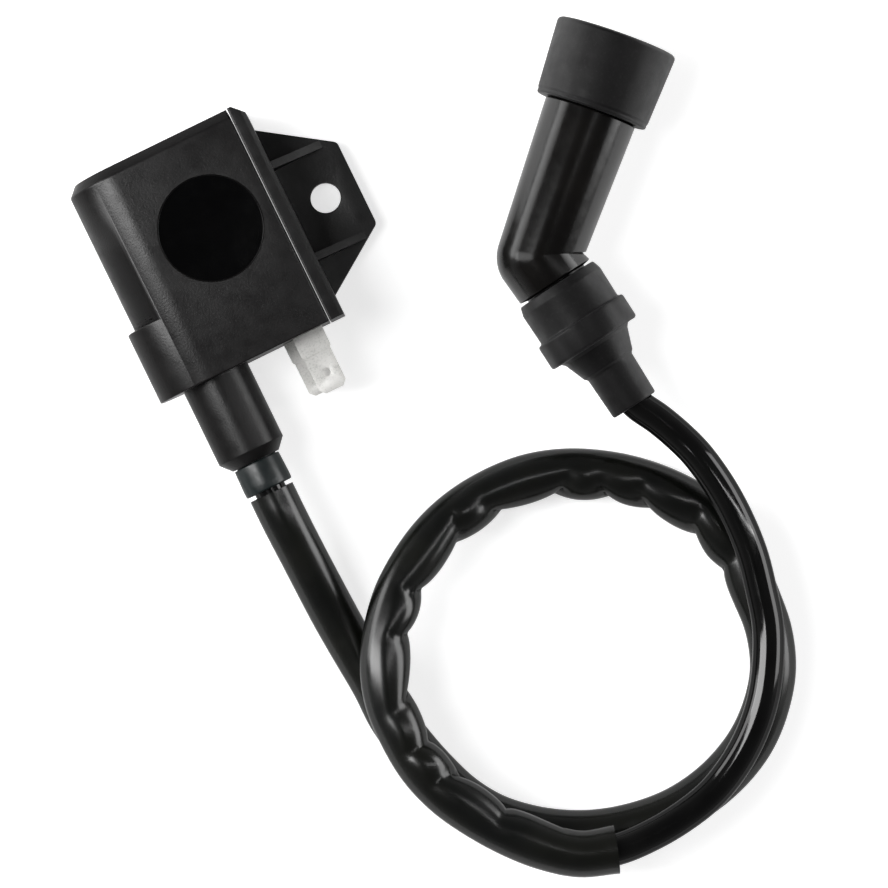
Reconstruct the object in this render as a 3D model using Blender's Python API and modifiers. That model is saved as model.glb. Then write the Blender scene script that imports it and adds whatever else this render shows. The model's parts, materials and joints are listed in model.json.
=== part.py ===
"""Small-engine ignition coil with its high-tension lead and elbow plug cap.

The origin is in the middle of the case's flat back, level with the mounting hole. +X runs
from the winding barrel towards the ear, +Y away from the lead tower, and +Z out of the coil's
front face, so z = 0 is the surface that the case and the ear are bolted against.

Sizes and places below are measured from the mounting hole's axis. Every piece hangs on one
empty there, and BOLT_AXIS_X sets that empty off from the origin.
"""

import math

import bmesh
import bpy
from mathutils import Vector

MM = 0.001
GAP = 0.3 * MM
MERGE = 0.00001
FLAT_ANGLE = math.radians(0.05)
EMBED = 1.0 * MM

# Mounting hole's distance from the origin
BOLT_AXIS_X = 25.0 * MM

# Coil body
BODY_THICKNESS = 22.6 * MM
BODY_TOP = 26.4 * MM
BODY_BOTTOM = -25.0 * MM
BODY_WALL = 2.0 * MM
BODY_CHAMFER = 2.1 * MM
BARREL_X = -38.5 * MM
BARREL_Z = BODY_THICKNESS / 2
BARREL_RADIUS = BODY_THICKNESS / 2
BARREL_FACETS = 18
CASE_MOUTH_X = -11.0 * MM
PAD_STAND_OUT = 1.8 * MM
PAD_RADIUS = 10.5 * MM
PAD_LENGTH = 16.5 * MM
BADGE_RADIUS = 11.3 * MM
BADGE_CENTRE = Vector((-25.0 * MM, 4.0 * MM, BODY_THICKNESS))
BADGE_DEPTH = 0.4 * MM

# Side cover with the mounting ear
COVER_INNER_X = -10.7 * MM
COVER_OUTER_X = -7.4 * MM
COVER_CORNER = 2.4 * MM
COVER_CHAMFER = 0.8 * MM
RIM_DEPTH = 1.0 * MM
RIM_WALL = 1.2 * MM
EAR_THICKNESS = 3.8 * MM
EAR_REACH = 7.6 * MM
EAR_ROOT_HALF = 20.0 * MM
EAR_TIP_HALF = 9.8 * MM
EAR_CORNER_RADIUS = 1.3 * MM
BOLT_HOLE_RADIUS = 3.3 * MM
GUSSET_Y = 11.0 * MM
GUSSET_THICKNESS = 1.7 * MM
GUSSET_TIP_X = 4.3 * MM
GUSSET_TOP_Z = 14.0 * MM

# Lead tower
TOWER_RADIUS = 7.65 * MM
TOWER_TIP_RADIUS = 5.4 * MM
TOWER_SHOULDER_Y = -42.6 * MM
TOWER_END_Y = -45.0 * MM
TOWER_FLOOR_Y = -26.0 * MM
TOWER_SEAL_SEAT_Y = -38.5 * MM
SEAL_SEAT_RADIUS = 4.9 * MM
SEAL_END_Y = -51.7 * MM
SEAL_RADIUS = 5.4 * MM
LEAD_BORE_RADIUS = 3.8 * MM
HV_PIN_RADIUS = 1.2 * MM
HV_PIN_END_Y = -33.0 * MM
HV_PIN_POINT = 2.0 * MM
HV_HEAD_Y = -18.2 * MM
HV_HEAD_THICKNESS = 1.5 * MM
HV_HEAD_RADIUS = 3.2 * MM

# Spade terminals, for 6.3 mm receptacles
BLADE_WIDTH = 6.3 * MM
BLADE_THICKNESS = 0.8 * MM
BLADE_ROOT_WIDTH = 7.0 * MM
BLADE_ROOT_THICKNESS = 1.0 * MM
BLADE_SHOULDER_Y = -30.0 * MM
BLADE_INNER_Y = -17.5 * MM
BLADE_CORNER = 1.1 * MM
BLADE_HOLE_RADIUS = 0.95 * MM
BLADE_HOLE_Y = -34.5 * MM
PRIMARY_BLADE = Vector((-16.3 * MM, -38.7 * MM, 15.5 * MM))
GROUND_BLADE = Vector((-18.7 * MM, -38.0 * MM, 7.5 * MM))

# Laminated core: U sheets closed by straight bars
SHEET_COUNT = 8
SHEET_THICKNESS = 0.42 * MM
SHEET_PITCH = 0.62 * MM
LIMB_WIDTH = 4.8 * MM
RETURN_LIMB_X = -24.0 * MM
CORE_TOP_Y = 22.9 * MM
CORE_LIMB_END_Y = -11.0 * MM

# Bobbins and windings, all round the barrel's axis
COIL_TOP_Y = 17.5 * MM
COIL_BOTTOM_Y = -10.7 * MM
PRIMARY_TUBE_RADIUS = 4.4 * MM
PRIMARY_WIRE_RADIUS = 5.7 * MM
PRIMARY_TURNS = 8
SECONDARY_BORE_RADIUS = 6.0 * MM
SECONDARY_TUBE_RADIUS = 6.6 * MM
SECONDARY_FLANGE_RADIUS = 8.2 * MM
SECONDARY_SECTIONS = 4
FLANGE_THICKNESS = 0.8 * MM
NOTCH_WIDTH = 1.8 * MM
CROSSOVER_WIDTH = 1.0 * MM
HOOKUP_RADIUS = 0.35 * MM
SOLDER_RUN = 3.0 * MM
SOLDER_INSET = 1.5 * MM
WIRE_SPACING = 1.6 * MM
PIN_RUN = 1.0 * MM
POTTING_SURFACE_X = -12.2 * MM

# High-tension lead and its protective sleeve
LEAD_RADIUS = 3.5 * MM
LEAD_WALL = 1.85 * MM
CONDUCTOR_RADIUS = 1.2 * MM
SLEEVE_RADIUS = 5.05 * MM
SLEEVE_WALL = 1.05 * MM
SLEEVE_LENGTH = 387.0 * MM
STATION_SPACING = 8.0 * MM
TOWER_PIVOT_Y = -52.4 * MM
TOWER_PIVOT_HALF_GAP = 0.5 * MM
SLEEVE_START = 0.6 * MM
CAP_PIVOT_HALF_GAP = 1.4 * MM

# Where the lead runs from the tower down to the table, then coils round LOOP_CENTRE.
# Each coil station is turn angle (degrees), radius (mm) and height of the lead's centre (mm).
LOOP_CENTRE = Vector((5.2 * MM, -113.3 * MM, 0.0))
RUN_DOWN = [(-38.5, -60.0, 11.0), (-38.3, -72.0, 8.6), (-37.9, -85.0, 6.2), (-37.0, -99.0, 5.2)]
LEAD_COIL = [
    (181, 41.0, 5.15),
    (214, 39.6, 5.15),
    (246, 38.9, 5.15),
    (277, 40.4, 5.15),
    (305, 42.6, 5.15),
    (330, 43.3, 5.15),
    (353, 41.6, 5.15),
    (378, 42.0, 5.15),
    (406, 40.2, 5.3),
    (436, 40.0, 6.4),
    (464, 40.1, 9.2),
    (490, 40.7, 13.0),
    (512, 41.4, 15.6),
    (530, 41.6, 16.0),
    (557, 40.9, 15.8),
    (588, 41.0, 15.7),
    (613, 42.8, 15.5),
    (645, 41.8, 14.3),
    (672, 41.6, 14.1),
    (696, 41.8, 14.1),
    (714, 42.6, 14.1),
    (730, 45.1, 14.1),
    (747, 49.2, 14.1),
    (758, 52.3, 13.8),
    (764, 54.2, 13.6),
]

# Plug cap: two arms that meet at the elbow, both level with the table
ELBOW = Vector((35.9 * MM, -32.3 * MM, 13.5 * MM))
PLUG_ARM_ANGLE = math.radians(44.5)
CABLE_ARM_ANGLE = math.radians(-83.1)
PLUG_ARM = Vector((math.cos(PLUG_ARM_ANGLE), math.sin(PLUG_ARM_ANGLE), 0.0))
CABLE_ARM = Vector((math.cos(CABLE_ARM_ANGLE), math.sin(CABLE_ARM_ANGLE), 0.0))
ELBOW_RADIUS = 9.3 * MM
PLUG_ARM_ROOT_RADIUS = 9.1 * MM
PLUG_ARM_END_RADIUS = 10.2 * MM
SHELL_STEP = 33.2 * MM
SHELL_SPIGOT_RADIUS = 9.5 * MM
SHELL_END = 45.0 * MM
PLUG_WELL_RADIUS = 6.6 * MM
PLUG_WELL_FLOOR = 28.0 * MM
RESISTOR_BORE_RADIUS = 4.2 * MM
ELBOW_CAVITY_RADIUS = 4.8 * MM
CABLE_ARM_RADIUS = 8.9 * MM
CABLE_ARM_STEP = 6.6 * MM
CABLE_SPIGOT_RADIUS = 7.2 * MM
CABLE_SPIGOT_END = 19.0 * MM
CABLE_BORE_FLOOR = 7.5 * MM
SCREW_HOLE_RADIUS = 1.6 * MM

# Rubber boots
PLUG_BOOT_START = 33.6 * MM
PLUG_BOOT_END = 50.7 * MM
PLUG_BOOT_ROOT_RADIUS = 12.55 * MM
PLUG_BOOT_MOUTH_RADIUS = 13.5 * MM
PLUG_BOOT_LIP_RADIUS = 8.6 * MM
PLUG_BOOT_LIP = 45.4 * MM
PLUG_BOOT_LEAD_IN = 1.5 * MM
HOOD_START = 7.0 * MM
HOOD_RADIUS = 9.8 * MM
FLANGE_START = 16.3 * MM
FLANGE_END = 22.2 * MM
FLANGE_RADIUS = 11.0 * MM
CONE_END = 26.4 * MM
CONE_ROOT_RADIUS = 8.6 * MM
CONE_TIP_RADIUS = 6.7 * MM
GAITER_RADIUS = 5.5 * MM
CABLE_MOUTH = 38.1 * MM
CAP_PIVOT = 39.6 * MM

# Parts inside the cap, as distances from the elbow along their arm
SCREW_HEAD = (2.5 * MM, 3.8 * MM)
SCREW_HEAD_RADIUS = 2.2 * MM
SCREW_END = 14.0 * MM
SCREW_RADIUS = 1.2 * MM
SCREW_POINT = 2.0 * MM
THREAD_PITCH = 1.25 * MM
THREAD_DEPTH = 0.3 * MM
THREAD_START = 8.0 * MM
LEAD_END_IN_CAP = 8.0 * MM
CONTACT_SPAN = (0.5 * MM, 2.5 * MM)
CONTACT_RADIUS = 3.0 * MM
SPRING_SPAN = (3.1 * MM, 7.2 * MM)
SPRING_RADIUS = 2.4 * MM
SPRING_WIRE = 0.25 * MM
SPRING_TURNS = 4
RESISTOR_SPAN = (8.3 * MM, 23.3 * MM)
RESISTOR_RADIUS = 3.1 * MM
END_CAP_WALL = 0.3 * MM
END_CAP_DEPTH = 3.0 * MM
SOCKET_START = 24.1 * MM
SOCKET_FLANGE = (28.3 * MM, 29.5 * MM)
SOCKET_FLANGE_RADIUS = 6.2 * MM
SOCKET_END = 40.0 * MM
SOCKET_RADIUS = 4.6 * MM
SOCKET_BORE_RADIUS = 3.6 * MM
SOCKET_BORE_FLOOR = 30.5 * MM
CLIP_AT = 36.0 * MM
CLIP_RADIUS = 0.45 * MM
CLIP_OFFSET = 3.4 * MM
CLIP_LENGTH = 7.0 * MM

# ---------------------------------------------------------------- scene and materials

for old in list(bpy.data.objects):
    bpy.data.objects.remove(old, do_unlink=True)

parts = bpy.data.collections.new("ignition_coil")
cutters = bpy.data.collections.new("cutters")
bpy.context.scene.collection.children.link(parts)
bpy.context.scene.collection.children.link(cutters)


def principled(name, colour, roughness, metallic=0.0):
    """A material whose surface is one Principled BSDF."""
    material = bpy.data.materials.new(name)
    material.use_nodes = True
    shader = material.node_tree.nodes["Principled BSDF"]
    shader.inputs["Base Color"].default_value = (*colour, 1.0)
    shader.inputs["Roughness"].default_value = roughness
    shader.inputs["Metallic"].default_value = metallic
    return material


BODY_PLASTIC = principled("body_plastic", (0.017, 0.016, 0.016), 0.5)
COVER_PLASTIC = principled("cover_plastic", (0.012, 0.012, 0.012), 0.55)
SEAL_RUBBER = principled("seal_rubber", (0.018, 0.026, 0.026), 0.45)
BOOT_RUBBER = principled("boot_rubber", (0.03, 0.03, 0.031), 0.7)
CAP_RESIN = principled("cap_resin", (0.012, 0.012, 0.013), 0.15)
SLEEVE_VINYL = principled("sleeve_vinyl", (0.008, 0.009, 0.008), 0.25)
LEAD_JACKET = principled("lead_jacket_rubber", (0.006, 0.006, 0.006), 0.2)
TINNED = principled("tinned_brass", (0.62, 0.62, 0.6), 0.4, 1.0)
BRASS = principled("brass", (0.62, 0.45, 0.2), 0.35, 1.0)
COPPER = principled("enamelled_copper", (0.5, 0.2, 0.08), 0.35, 1.0)
STEEL_SHEET = principled("core_steel", (0.3, 0.31, 0.33), 0.4, 1.0)
SPRING_STEEL = principled("spring_steel", (0.5, 0.5, 0.52), 0.3, 1.0)
BOBBIN_NYLON = principled("bobbin_nylon", (0.55, 0.53, 0.47), 0.5)
EPOXY = principled("potting_epoxy", (0.03, 0.025, 0.02), 0.35)
CERAMIC = principled("resistor_ceramic", (0.7, 0.68, 0.62), 0.6)

# ---------------------------------------------------------------- modelling tools


def turn_to(direction):
    """Rotation that takes +Z to a direction."""
    return Vector(direction).to_track_quat("Z", "Y").to_euler()


def place(mesh, name, location=(0, 0, 0), rotation=(0, 0, 0), cutter=False):
    """Put a mesh in the scene, as a part or as a cutter."""
    thing = bpy.data.objects.new(name, mesh)
    thing.location = location
    thing.rotation_euler = rotation
    (cutters if cutter else parts).objects.link(thing)
    if cutter:
        thing.hide_render = True
        thing.display_type = "WIRE"
    return thing


def hang_on_bolt_axis():
    """Hang every part and cutter on an empty at the mounting hole's axis."""
    bolt_axis = bpy.data.objects.new("bolt_axis", None)
    bolt_axis.location = (BOLT_AXIS_X, 0.0, 0.0)
    for thing in [*parts.objects, *cutters.objects]:
        thing.parent = bolt_axis
    parts.objects.link(bolt_axis)


def finish(thing, material, smooth_angle=35):
    """Give a part its material, and shade its round faces smooth."""
    thing.data.materials.append(material)
    thing.data.shade_smooth()
    thing.data.set_sharp_from_angle(angle=math.radians(smooth_angle))
    return thing


def box(name, low, high, cutter=False):
    """Box between two corners."""
    low, high = Vector(low), Vector(high)
    shape = bmesh.new()
    bmesh.ops.create_cube(shape, size=1.0)
    bmesh.ops.scale(shape, vec=high - low, verts=shape.verts)
    mesh = bpy.data.meshes.new(name)
    shape.to_mesh(mesh)
    shape.free()
    return place(mesh, name, (low + high) / 2, cutter=cutter)


def ball(name, centre, radius, steps):
    """Sphere used to round off or hollow out the elbow."""
    shape = bmesh.new()
    bmesh.ops.create_uvsphere(shape, u_segments=steps, v_segments=steps // 2, radius=radius)
    mesh = bpy.data.meshes.new(name)
    shape.to_mesh(mesh)
    shape.free()
    return place(mesh, name, centre, cutter=True)


def turned(name, profile, start, direction, steps=24, closed=False, cutter=False):
    """Profile of (distance along the axis, radius) points, turned round the axis.

    The points run down the outer side, from the far end of the axis to the near one. A
    closed profile is a ring's section; an open one starts and ends on the axis.
    """
    mesh = bpy.data.meshes.new(name)
    corners = [(radius, 0.0, along) for along, radius in profile]
    edges = [(i, i + 1) for i in range(len(corners) - 1)]
    if closed:
        edges.append((len(corners) - 1, 0))
    mesh.from_pydata(corners, edges, [])
    thing = place(mesh, name, start, turn_to(direction), cutter)
    screw = thing.modifiers.new("turn", "SCREW")
    screw.steps = steps
    screw.render_steps = steps
    screw.use_merge_vertices = True
    screw.merge_threshold = MERGE
    screw.use_smooth_shade = True
    return thing


def rod(name, start, direction, near, far, radius, steps=16, cutter=False):
    """Plain round bar between two distances along an axis."""
    profile = [(far, 0.0), (far, radius), (near, radius), (near, 0.0)]
    return turned(name, profile, start, direction, steps, cutter=cutter)


def ring(name, start, direction, near, far, outer, inner, steps=24, cutter=False):
    """Plain tube between two distances along an axis."""
    profile = [(far, outer), (near, outer), (near, inner), (far, inner)]
    return turned(name, profile, start, direction, steps, closed=True, cutter=cutter)


def mesh_from_curve(curve, name, location, rotation, cutter):
    """Make a curve's evaluated shape a mesh, with its caps welded to its sides."""
    guide = bpy.data.objects.new(name + "_guide", curve)
    guide.location = location
    guide.rotation_euler = rotation
    bpy.context.scene.collection.objects.link(guide)
    bpy.context.view_layer.update()
    evaluated = guide.evaluated_get(bpy.context.evaluated_depsgraph_get())
    mesh = bpy.data.meshes.new_from_object(evaluated)
    world = guide.matrix_world.copy()
    bpy.data.objects.remove(guide, do_unlink=True)
    shape = bmesh.new()
    shape.from_mesh(mesh)
    bmesh.ops.remove_doubles(shape, verts=shape.verts, dist=MERGE)
    bmesh.ops.dissolve_limit(shape, angle_limit=FLAT_ANGLE, verts=shape.verts, edges=shape.edges)
    bmesh.ops.recalc_face_normals(shape, faces=shape.faces)
    shape.to_mesh(mesh)
    shape.free()
    thing = place(mesh, name, cutter=cutter)
    thing.matrix_world = world
    return thing


def plate(name, outlines, thickness, location, rotation=(0, 0, 0), cutter=False):
    """Flat outline, with any holes as further outlines, thickened about its middle."""
    curve = bpy.data.curves.new(name, "CURVE")
    curve.dimensions = "2D"
    curve.fill_mode = "BOTH"
    curve.extrude = thickness / 2
    for outline in outlines:
        spline = curve.splines.new("POLY")
        spline.points.add(len(outline) - 1)
        for point, (u, v) in zip(spline.points, outline):
            point.co = (u, v, 0.0, 1.0)
        spline.use_cyclic_u = True
    return mesh_from_curve(curve, name, location, rotation, cutter)


def tube(name, points, radius, sides=8, capped=True, cutter=False):
    """Round bar along a row of points; without caps it is an open surface."""
    curve = bpy.data.curves.new(name, "CURVE")
    curve.dimensions = "3D"
    curve.bevel_depth = radius
    curve.bevel_resolution = (sides - 4) // 2
    curve.use_fill_caps = capped
    spline = curve.splines.new("POLY")
    spline.points.add(len(points) - 1)
    for point, place_on_path in zip(spline.points, points):
        point.co = (*place_on_path, 1.0)
    return mesh_from_curve(curve, name, (0, 0, 0), (0, 0, 0), cutter)


def hose(name, points, radius, wall, sides):
    """Hollow tube along a row of points."""
    thing = tube(name, points, radius, sides, capped=False)
    skin = thing.modifiers.new("wall", "SOLIDIFY")
    skin.thickness = wall
    skin.offset = -1.0
    return thing


def circle(centre, radius, steps):
    """Points of a circle in a plane."""
    turns = [math.tau * i / steps for i in range(steps)]
    return [(centre[0] + radius * math.cos(a), centre[1] + radius * math.sin(a)) for a in turns]


def fillet(before, corner, after, radius, steps=5):
    """Arc that rounds the corner between two straight edges."""
    before, corner, after = Vector(before), Vector(corner), Vector(after)
    back = (before - corner).normalized()
    ahead = (after - corner).normalized()
    half = back.angle(ahead) / 2
    centre = corner + (back + ahead).normalized() * (radius / math.sin(half))
    first = corner + back * (radius / math.tan(half)) - centre
    last = corner + ahead * (radius / math.tan(half)) - centre
    return [centre + first.slerp(last, i / steps).normalized() * radius for i in range(steps + 1)]


def boolean(target, other, operation):
    """Add a Boolean step to a part."""
    step = target.modifiers.new(operation.lower() + "_" + other.name, "BOOLEAN")
    step.operation = operation
    step.object = other
    step.solver = "EXACT"


def weld(thing):
    """Close up the hair-thin slivers that a cut can leave."""
    step = thing.modifiers.new("weld", "WELD")
    step.merge_threshold = MERGE


def cut(target, *others):
    for other in others:
        boolean(target, other, "DIFFERENCE")


def join(target, *others):
    for other in others:
        boolean(target, other, "UNION")


def chamfer(thing, width, wanted):
    """Cut a flat chamfer along the edges whose middle satisfies a test."""
    shape = bmesh.new()
    shape.from_mesh(thing.data)
    place_of = thing.matrix_world
    edges = [e for e in shape.edges if wanted(place_of @ ((e.verts[0].co + e.verts[1].co) / 2))]
    bmesh.ops.bevel(shape, geom=edges, offset=width, segments=1, affect="EDGES", profile=0.5)
    shape.to_mesh(thing.data)
    shape.free()


# ---------------------------------------------------------------- coil body

BARREL = Vector((BARREL_X, 0.0, BARREL_Z))
UP_BARREL = Vector((0.0, 1.0, 0.0))
STAND = (math.pi / 2, 0.0, 0.0)
MIDDLE_Y = (BODY_TOP + BODY_BOTTOM) / 2


def body_section(inset, right):
    """Section across the barrel: a half round that runs on into a flat box."""
    radius = BARREL_RADIUS - inset
    arc = []
    for i in range(BARREL_FACETS + 1):
        angle = math.pi / 2 + math.pi * i / BARREL_FACETS
        arc.append((BARREL_X + radius * math.cos(angle), BARREL_Z + radius * math.sin(angle)))
    return arc + [(right, inset), (right, BODY_THICKNESS - inset)]


def blade_outline(width, near_y, far_y, corner):
    """Spade blade seen face on, with its far corners cut off."""
    half = width / 2
    return [
        (-half, near_y),
        (-half, far_y + corner),
        (-half + corner, far_y),
        (half - corner, far_y),
        (half, far_y + corner),
        (half, near_y),
    ]


def blade_slot(name, blade):
    """Space that a terminal's root takes up in the case's wall and in the resin."""
    half = BLADE_ROOT_WIDTH / 2 + GAP
    deep = BLADE_ROOT_THICKNESS / 2 + GAP
    low = (blade.x - half, BODY_BOTTOM - EMBED, blade.z - deep)
    high = (blade.x + half, BLADE_INNER_Y + GAP, blade.z + deep)
    return box(name, low, high, cutter=True)


def make_case():
    """Moulded shell, open on the cover side, with the lead tower at its foot."""
    length = BODY_TOP - BODY_BOTTOM
    outline = body_section(0.0, CASE_MOUTH_X)
    case = plate("case", [outline], length, (0.0, MIDDLE_Y, 0.0), STAND)

    def on_top_edge(middle):
        return middle.y > BODY_TOP - MERGE and middle.x < CASE_MOUTH_X - MERGE

    chamfer(case, BODY_CHAMFER, on_top_edge)

    pad_x = BARREL_X - BARREL_RADIUS - PAD_STAND_OUT + PAD_RADIUS
    pad_foot = Vector((pad_x, BODY_BOTTOM, BARREL_Z))
    join(case, rod("case_pad", pad_foot, UP_BARREL, 0.0, PAD_LENGTH, PAD_RADIUS, 36, cutter=True))

    tower = [
        (-TOWER_END_Y, 0.0),
        (-TOWER_END_Y, TOWER_TIP_RADIUS),
        (-TOWER_SHOULDER_Y, TOWER_RADIUS),
        (-BODY_BOTTOM - EMBED, TOWER_RADIUS),
        (-BODY_BOTTOM - EMBED, 0.0),
    ]
    join(case, turned("case_tower", tower, BARREL, -UP_BARREL, 24, cutter=True))

    inside = body_section(BODY_WALL, CASE_MOUTH_X + EMBED)
    cavity_length = length - 2 * BODY_WALL
    cavity = plate("case_cavity", [inside], cavity_length, (0.0, MIDDLE_Y, 0.0), STAND, cutter=True)
    bore = [
        (-TOWER_END_Y + EMBED, 0.0),
        (-TOWER_END_Y + EMBED, SEAL_SEAT_RADIUS),
        (-TOWER_SEAL_SEAT_Y, SEAL_SEAT_RADIUS),
        (-TOWER_SEAL_SEAT_Y, LEAD_BORE_RADIUS),
        (-TOWER_FLOOR_Y, LEAD_BORE_RADIUS),
        (-TOWER_FLOOR_Y, HV_PIN_RADIUS + GAP),
        (-BODY_BOTTOM - BODY_WALL - EMBED, HV_PIN_RADIUS + GAP),
        (-BODY_BOTTOM - BODY_WALL - EMBED, 0.0),
    ]
    cut(case, cavity, turned("case_bore", bore, BARREL, -UP_BARREL, 24, cutter=True))
    cut(case, blade_slot("case_primary_slot", PRIMARY_BLADE))
    cut(case, blade_slot("case_ground_slot", GROUND_BLADE))
    badge = rod("case_badge", BADGE_CENTRE, (0, 0, 1), -BADGE_DEPTH, EMBED, BADGE_RADIUS, 32, cutter=True)
    cut(case, badge)
    weld(case)
    return finish(case, BODY_PLASTIC, 15)


def make_mount_cover():
    """Side cover that closes the case's mouth and carries the ear and its two gussets."""
    corner_cut = [
        (COVER_INNER_X, BODY_BOTTOM),
        (COVER_OUTER_X, BODY_BOTTOM),
        (COVER_OUTER_X, BODY_TOP - COVER_CORNER),
        (COVER_OUTER_X - COVER_CORNER, BODY_TOP),
        (COVER_INNER_X, BODY_TOP),
    ]
    cover = plate("mount_cover", [corner_cut], BODY_THICKNESS, (0.0, 0.0, BODY_THICKNESS / 2))

    def on_top_edge(middle):
        face_z = abs(middle.z - BODY_THICKNESS / 2)
        return middle.y > BODY_TOP - MERGE and face_z > BODY_THICKNESS / 2 - MERGE

    chamfer(cover, COVER_CHAMFER, on_top_edge)

    tip, root = EAR_REACH, COVER_OUTER_X - EMBED
    slope = (EAR_ROOT_HALF - EAR_TIP_HALF) / (EAR_REACH - COVER_OUTER_X)
    root_half = EAR_ROOT_HALF + slope * EMBED
    lower = fillet((root, -root_half), (tip, -EAR_TIP_HALF), (tip, EAR_TIP_HALF), EAR_CORNER_RADIUS)
    upper = fillet((tip, -EAR_TIP_HALF), (tip, EAR_TIP_HALF), (root, root_half), EAR_CORNER_RADIUS)
    trapezium = [(root, -root_half)] + [tuple(p) for p in lower + upper] + [(root, root_half)]
    hole = circle((0.0, 0.0), BOLT_HOLE_RADIUS, 32)
    ear_place = (0.0, 0.0, EAR_THICKNESS / 2)
    join(cover, plate("cover_ear", [trapezium, hole], EAR_THICKNESS, ear_place, cutter=True))

    sink = EAR_THICKNESS - EMBED
    for side, name in ((-1, "cover_gusset_low"), (1, "cover_gusset_high")):
        triangle = [(root, sink), (GUSSET_TIP_X, sink), (GUSSET_TIP_X, EAR_THICKNESS), (root, GUSSET_TOP_Z)]
        join(cover, plate(name, [triangle], GUSSET_THICKNESS, (0.0, side * GUSSET_Y, 0.0), STAND, True))

    fit = BODY_WALL + GAP
    rim_x = COVER_INNER_X - RIM_DEPTH
    low = Vector((rim_x, BODY_BOTTOM + fit, fit))
    high = Vector((COVER_INNER_X + EMBED, BODY_TOP - fit, BODY_THICKNESS - fit))
    rim = box("cover_rim", low, high, cutter=True)
    wall = Vector((0.0, RIM_WALL, RIM_WALL))
    past = Vector((EMBED, 0.0, 0.0))
    hollow_high = Vector((COVER_INNER_X, high.y, high.z)) - wall
    hollow = box("cover_rim_hollow", low + wall - past, hollow_high, cutter=True)
    join(cover, rim)
    cut(cover, hollow)
    return finish(cover, COVER_PLASTIC, 15)


def make_tower_seal():
    """Rubber collar that seals the lead where it leaves the tower."""
    section = [
        (-SEAL_END_Y, SEAL_RADIUS),
        (-TOWER_END_Y + GAP, SEAL_RADIUS),
        (-TOWER_END_Y + GAP, SEAL_SEAT_RADIUS - GAP),
        (-TOWER_SEAL_SEAT_Y + GAP, SEAL_SEAT_RADIUS - GAP),
        (-TOWER_SEAL_SEAT_Y + GAP, LEAD_BORE_RADIUS),
        (-SEAL_END_Y, LEAD_BORE_RADIUS),
    ]
    seal = turned("tower_seal", section, BARREL, -UP_BARREL, 20, closed=True)
    return finish(seal, SEAL_RUBBER)


def make_terminal(name, blade):
    """Spade blade: a thinner exposed tab on a thicker root that is held in the resin."""
    root = blade_outline(BLADE_ROOT_WIDTH, BLADE_INNER_Y, BLADE_SHOULDER_Y, BLADE_CORNER / 2)
    tab = blade_outline(BLADE_WIDTH, BLADE_SHOULDER_Y + EMBED, blade.y, BLADE_CORNER)
    hole = circle((0.0, BLADE_HOLE_Y), BLADE_HOLE_RADIUS, 16)
    spot = (blade.x, 0.0, blade.z)
    terminal = plate(name, [root], BLADE_ROOT_THICKNESS, spot)
    join(terminal, plate(name + "_tab", [tab, hole], BLADE_THICKNESS, spot, cutter=True))
    return finish(terminal, TINNED)


def make_core():
    """Two stacks of thin steel sheets: U shapes through the coil, and bars that close them."""
    outer = LIMB_WIDTH / 2
    left, right = BARREL_X - outer, RETURN_LIMB_X + outer
    inner_left, inner_right = BARREL_X + outer, RETURN_LIMB_X - outer
    crossbar = CORE_TOP_Y - LIMB_WIDTH
    u_shape = [
        (left, CORE_LIMB_END_Y),
        (inner_left, CORE_LIMB_END_Y),
        (inner_left, crossbar),
        (inner_right, crossbar),
        (inner_right, CORE_LIMB_END_Y),
        (right, CORE_LIMB_END_Y),
        (right, CORE_TOP_Y),
        (left, CORE_TOP_Y),
    ]
    bar_top = CORE_LIMB_END_Y - GAP
    for i in range(SHEET_COUNT):
        z = BARREL_Z + (i - (SHEET_COUNT - 1) / 2) * SHEET_PITCH
        sheet = plate(f"core_sheet_{i + 1}", [u_shape], SHEET_THICKNESS, (0.0, 0.0, z))
        finish(sheet, STEEL_SHEET)
        low = (left, bar_top - LIMB_WIDTH, z - SHEET_THICKNESS / 2)
        high = (right, bar_top, z + SHEET_THICKNESS / 2)
        finish(box(f"core_bar_{i + 1}", low, high), STEEL_SHEET)


def core_hole(name, clearance, near_y, far_y):
    """Square space round the core limb that runs through the coil."""
    half = LIMB_WIDTH / 2 + clearance
    stack = (SHEET_COUNT - 1) * SHEET_PITCH / 2 + SHEET_THICKNESS / 2 + clearance
    low = (BARREL_X - half, near_y, BARREL_Z - stack)
    high = (BARREL_X + half, far_y, BARREL_Z + stack)
    return box(name, low, high, cutter=True)


def make_primary_bobbin():
    """Tube with end flanges; its square hole takes the core limb."""
    flange = PRIMARY_WIRE_RADIUS
    profile = [
        (COIL_TOP_Y, 0.0),
        (COIL_TOP_Y, flange),
        (COIL_TOP_Y - FLANGE_THICKNESS, flange),
        (COIL_TOP_Y - FLANGE_THICKNESS, PRIMARY_TUBE_RADIUS),
        (COIL_BOTTOM_Y + FLANGE_THICKNESS, PRIMARY_TUBE_RADIUS),
        (COIL_BOTTOM_Y + FLANGE_THICKNESS, flange),
        (COIL_BOTTOM_Y, flange),
        (COIL_BOTTOM_Y, 0.0),
    ]
    bobbin = turned("primary_bobbin", profile, BARREL, UP_BARREL, 16)
    cut(bobbin, core_hole("primary_bobbin_hole", GAP, COIL_BOTTOM_Y - EMBED, COIL_TOP_Y + EMBED))
    notch = NOTCH_WIDTH / 2
    low = (BARREL_X - notch, COIL_BOTTOM_Y - EMBED, BARREL_Z - flange - EMBED)
    high = (BARREL_X + notch, COIL_BOTTOM_Y + FLANGE_THICKNESS, BARREL_Z - PRIMARY_TUBE_RADIUS - GAP)
    cut(bobbin, box("primary_notch_back", low, high, cutter=True))
    low = (low[0], low[1], BARREL_Z + PRIMARY_TUBE_RADIUS + GAP)
    high = (high[0], high[1], BARREL_Z + flange + EMBED)
    cut(bobbin, box("primary_notch_front", low, high, cutter=True))
    return finish(bobbin, BOBBIN_NYLON)


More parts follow.
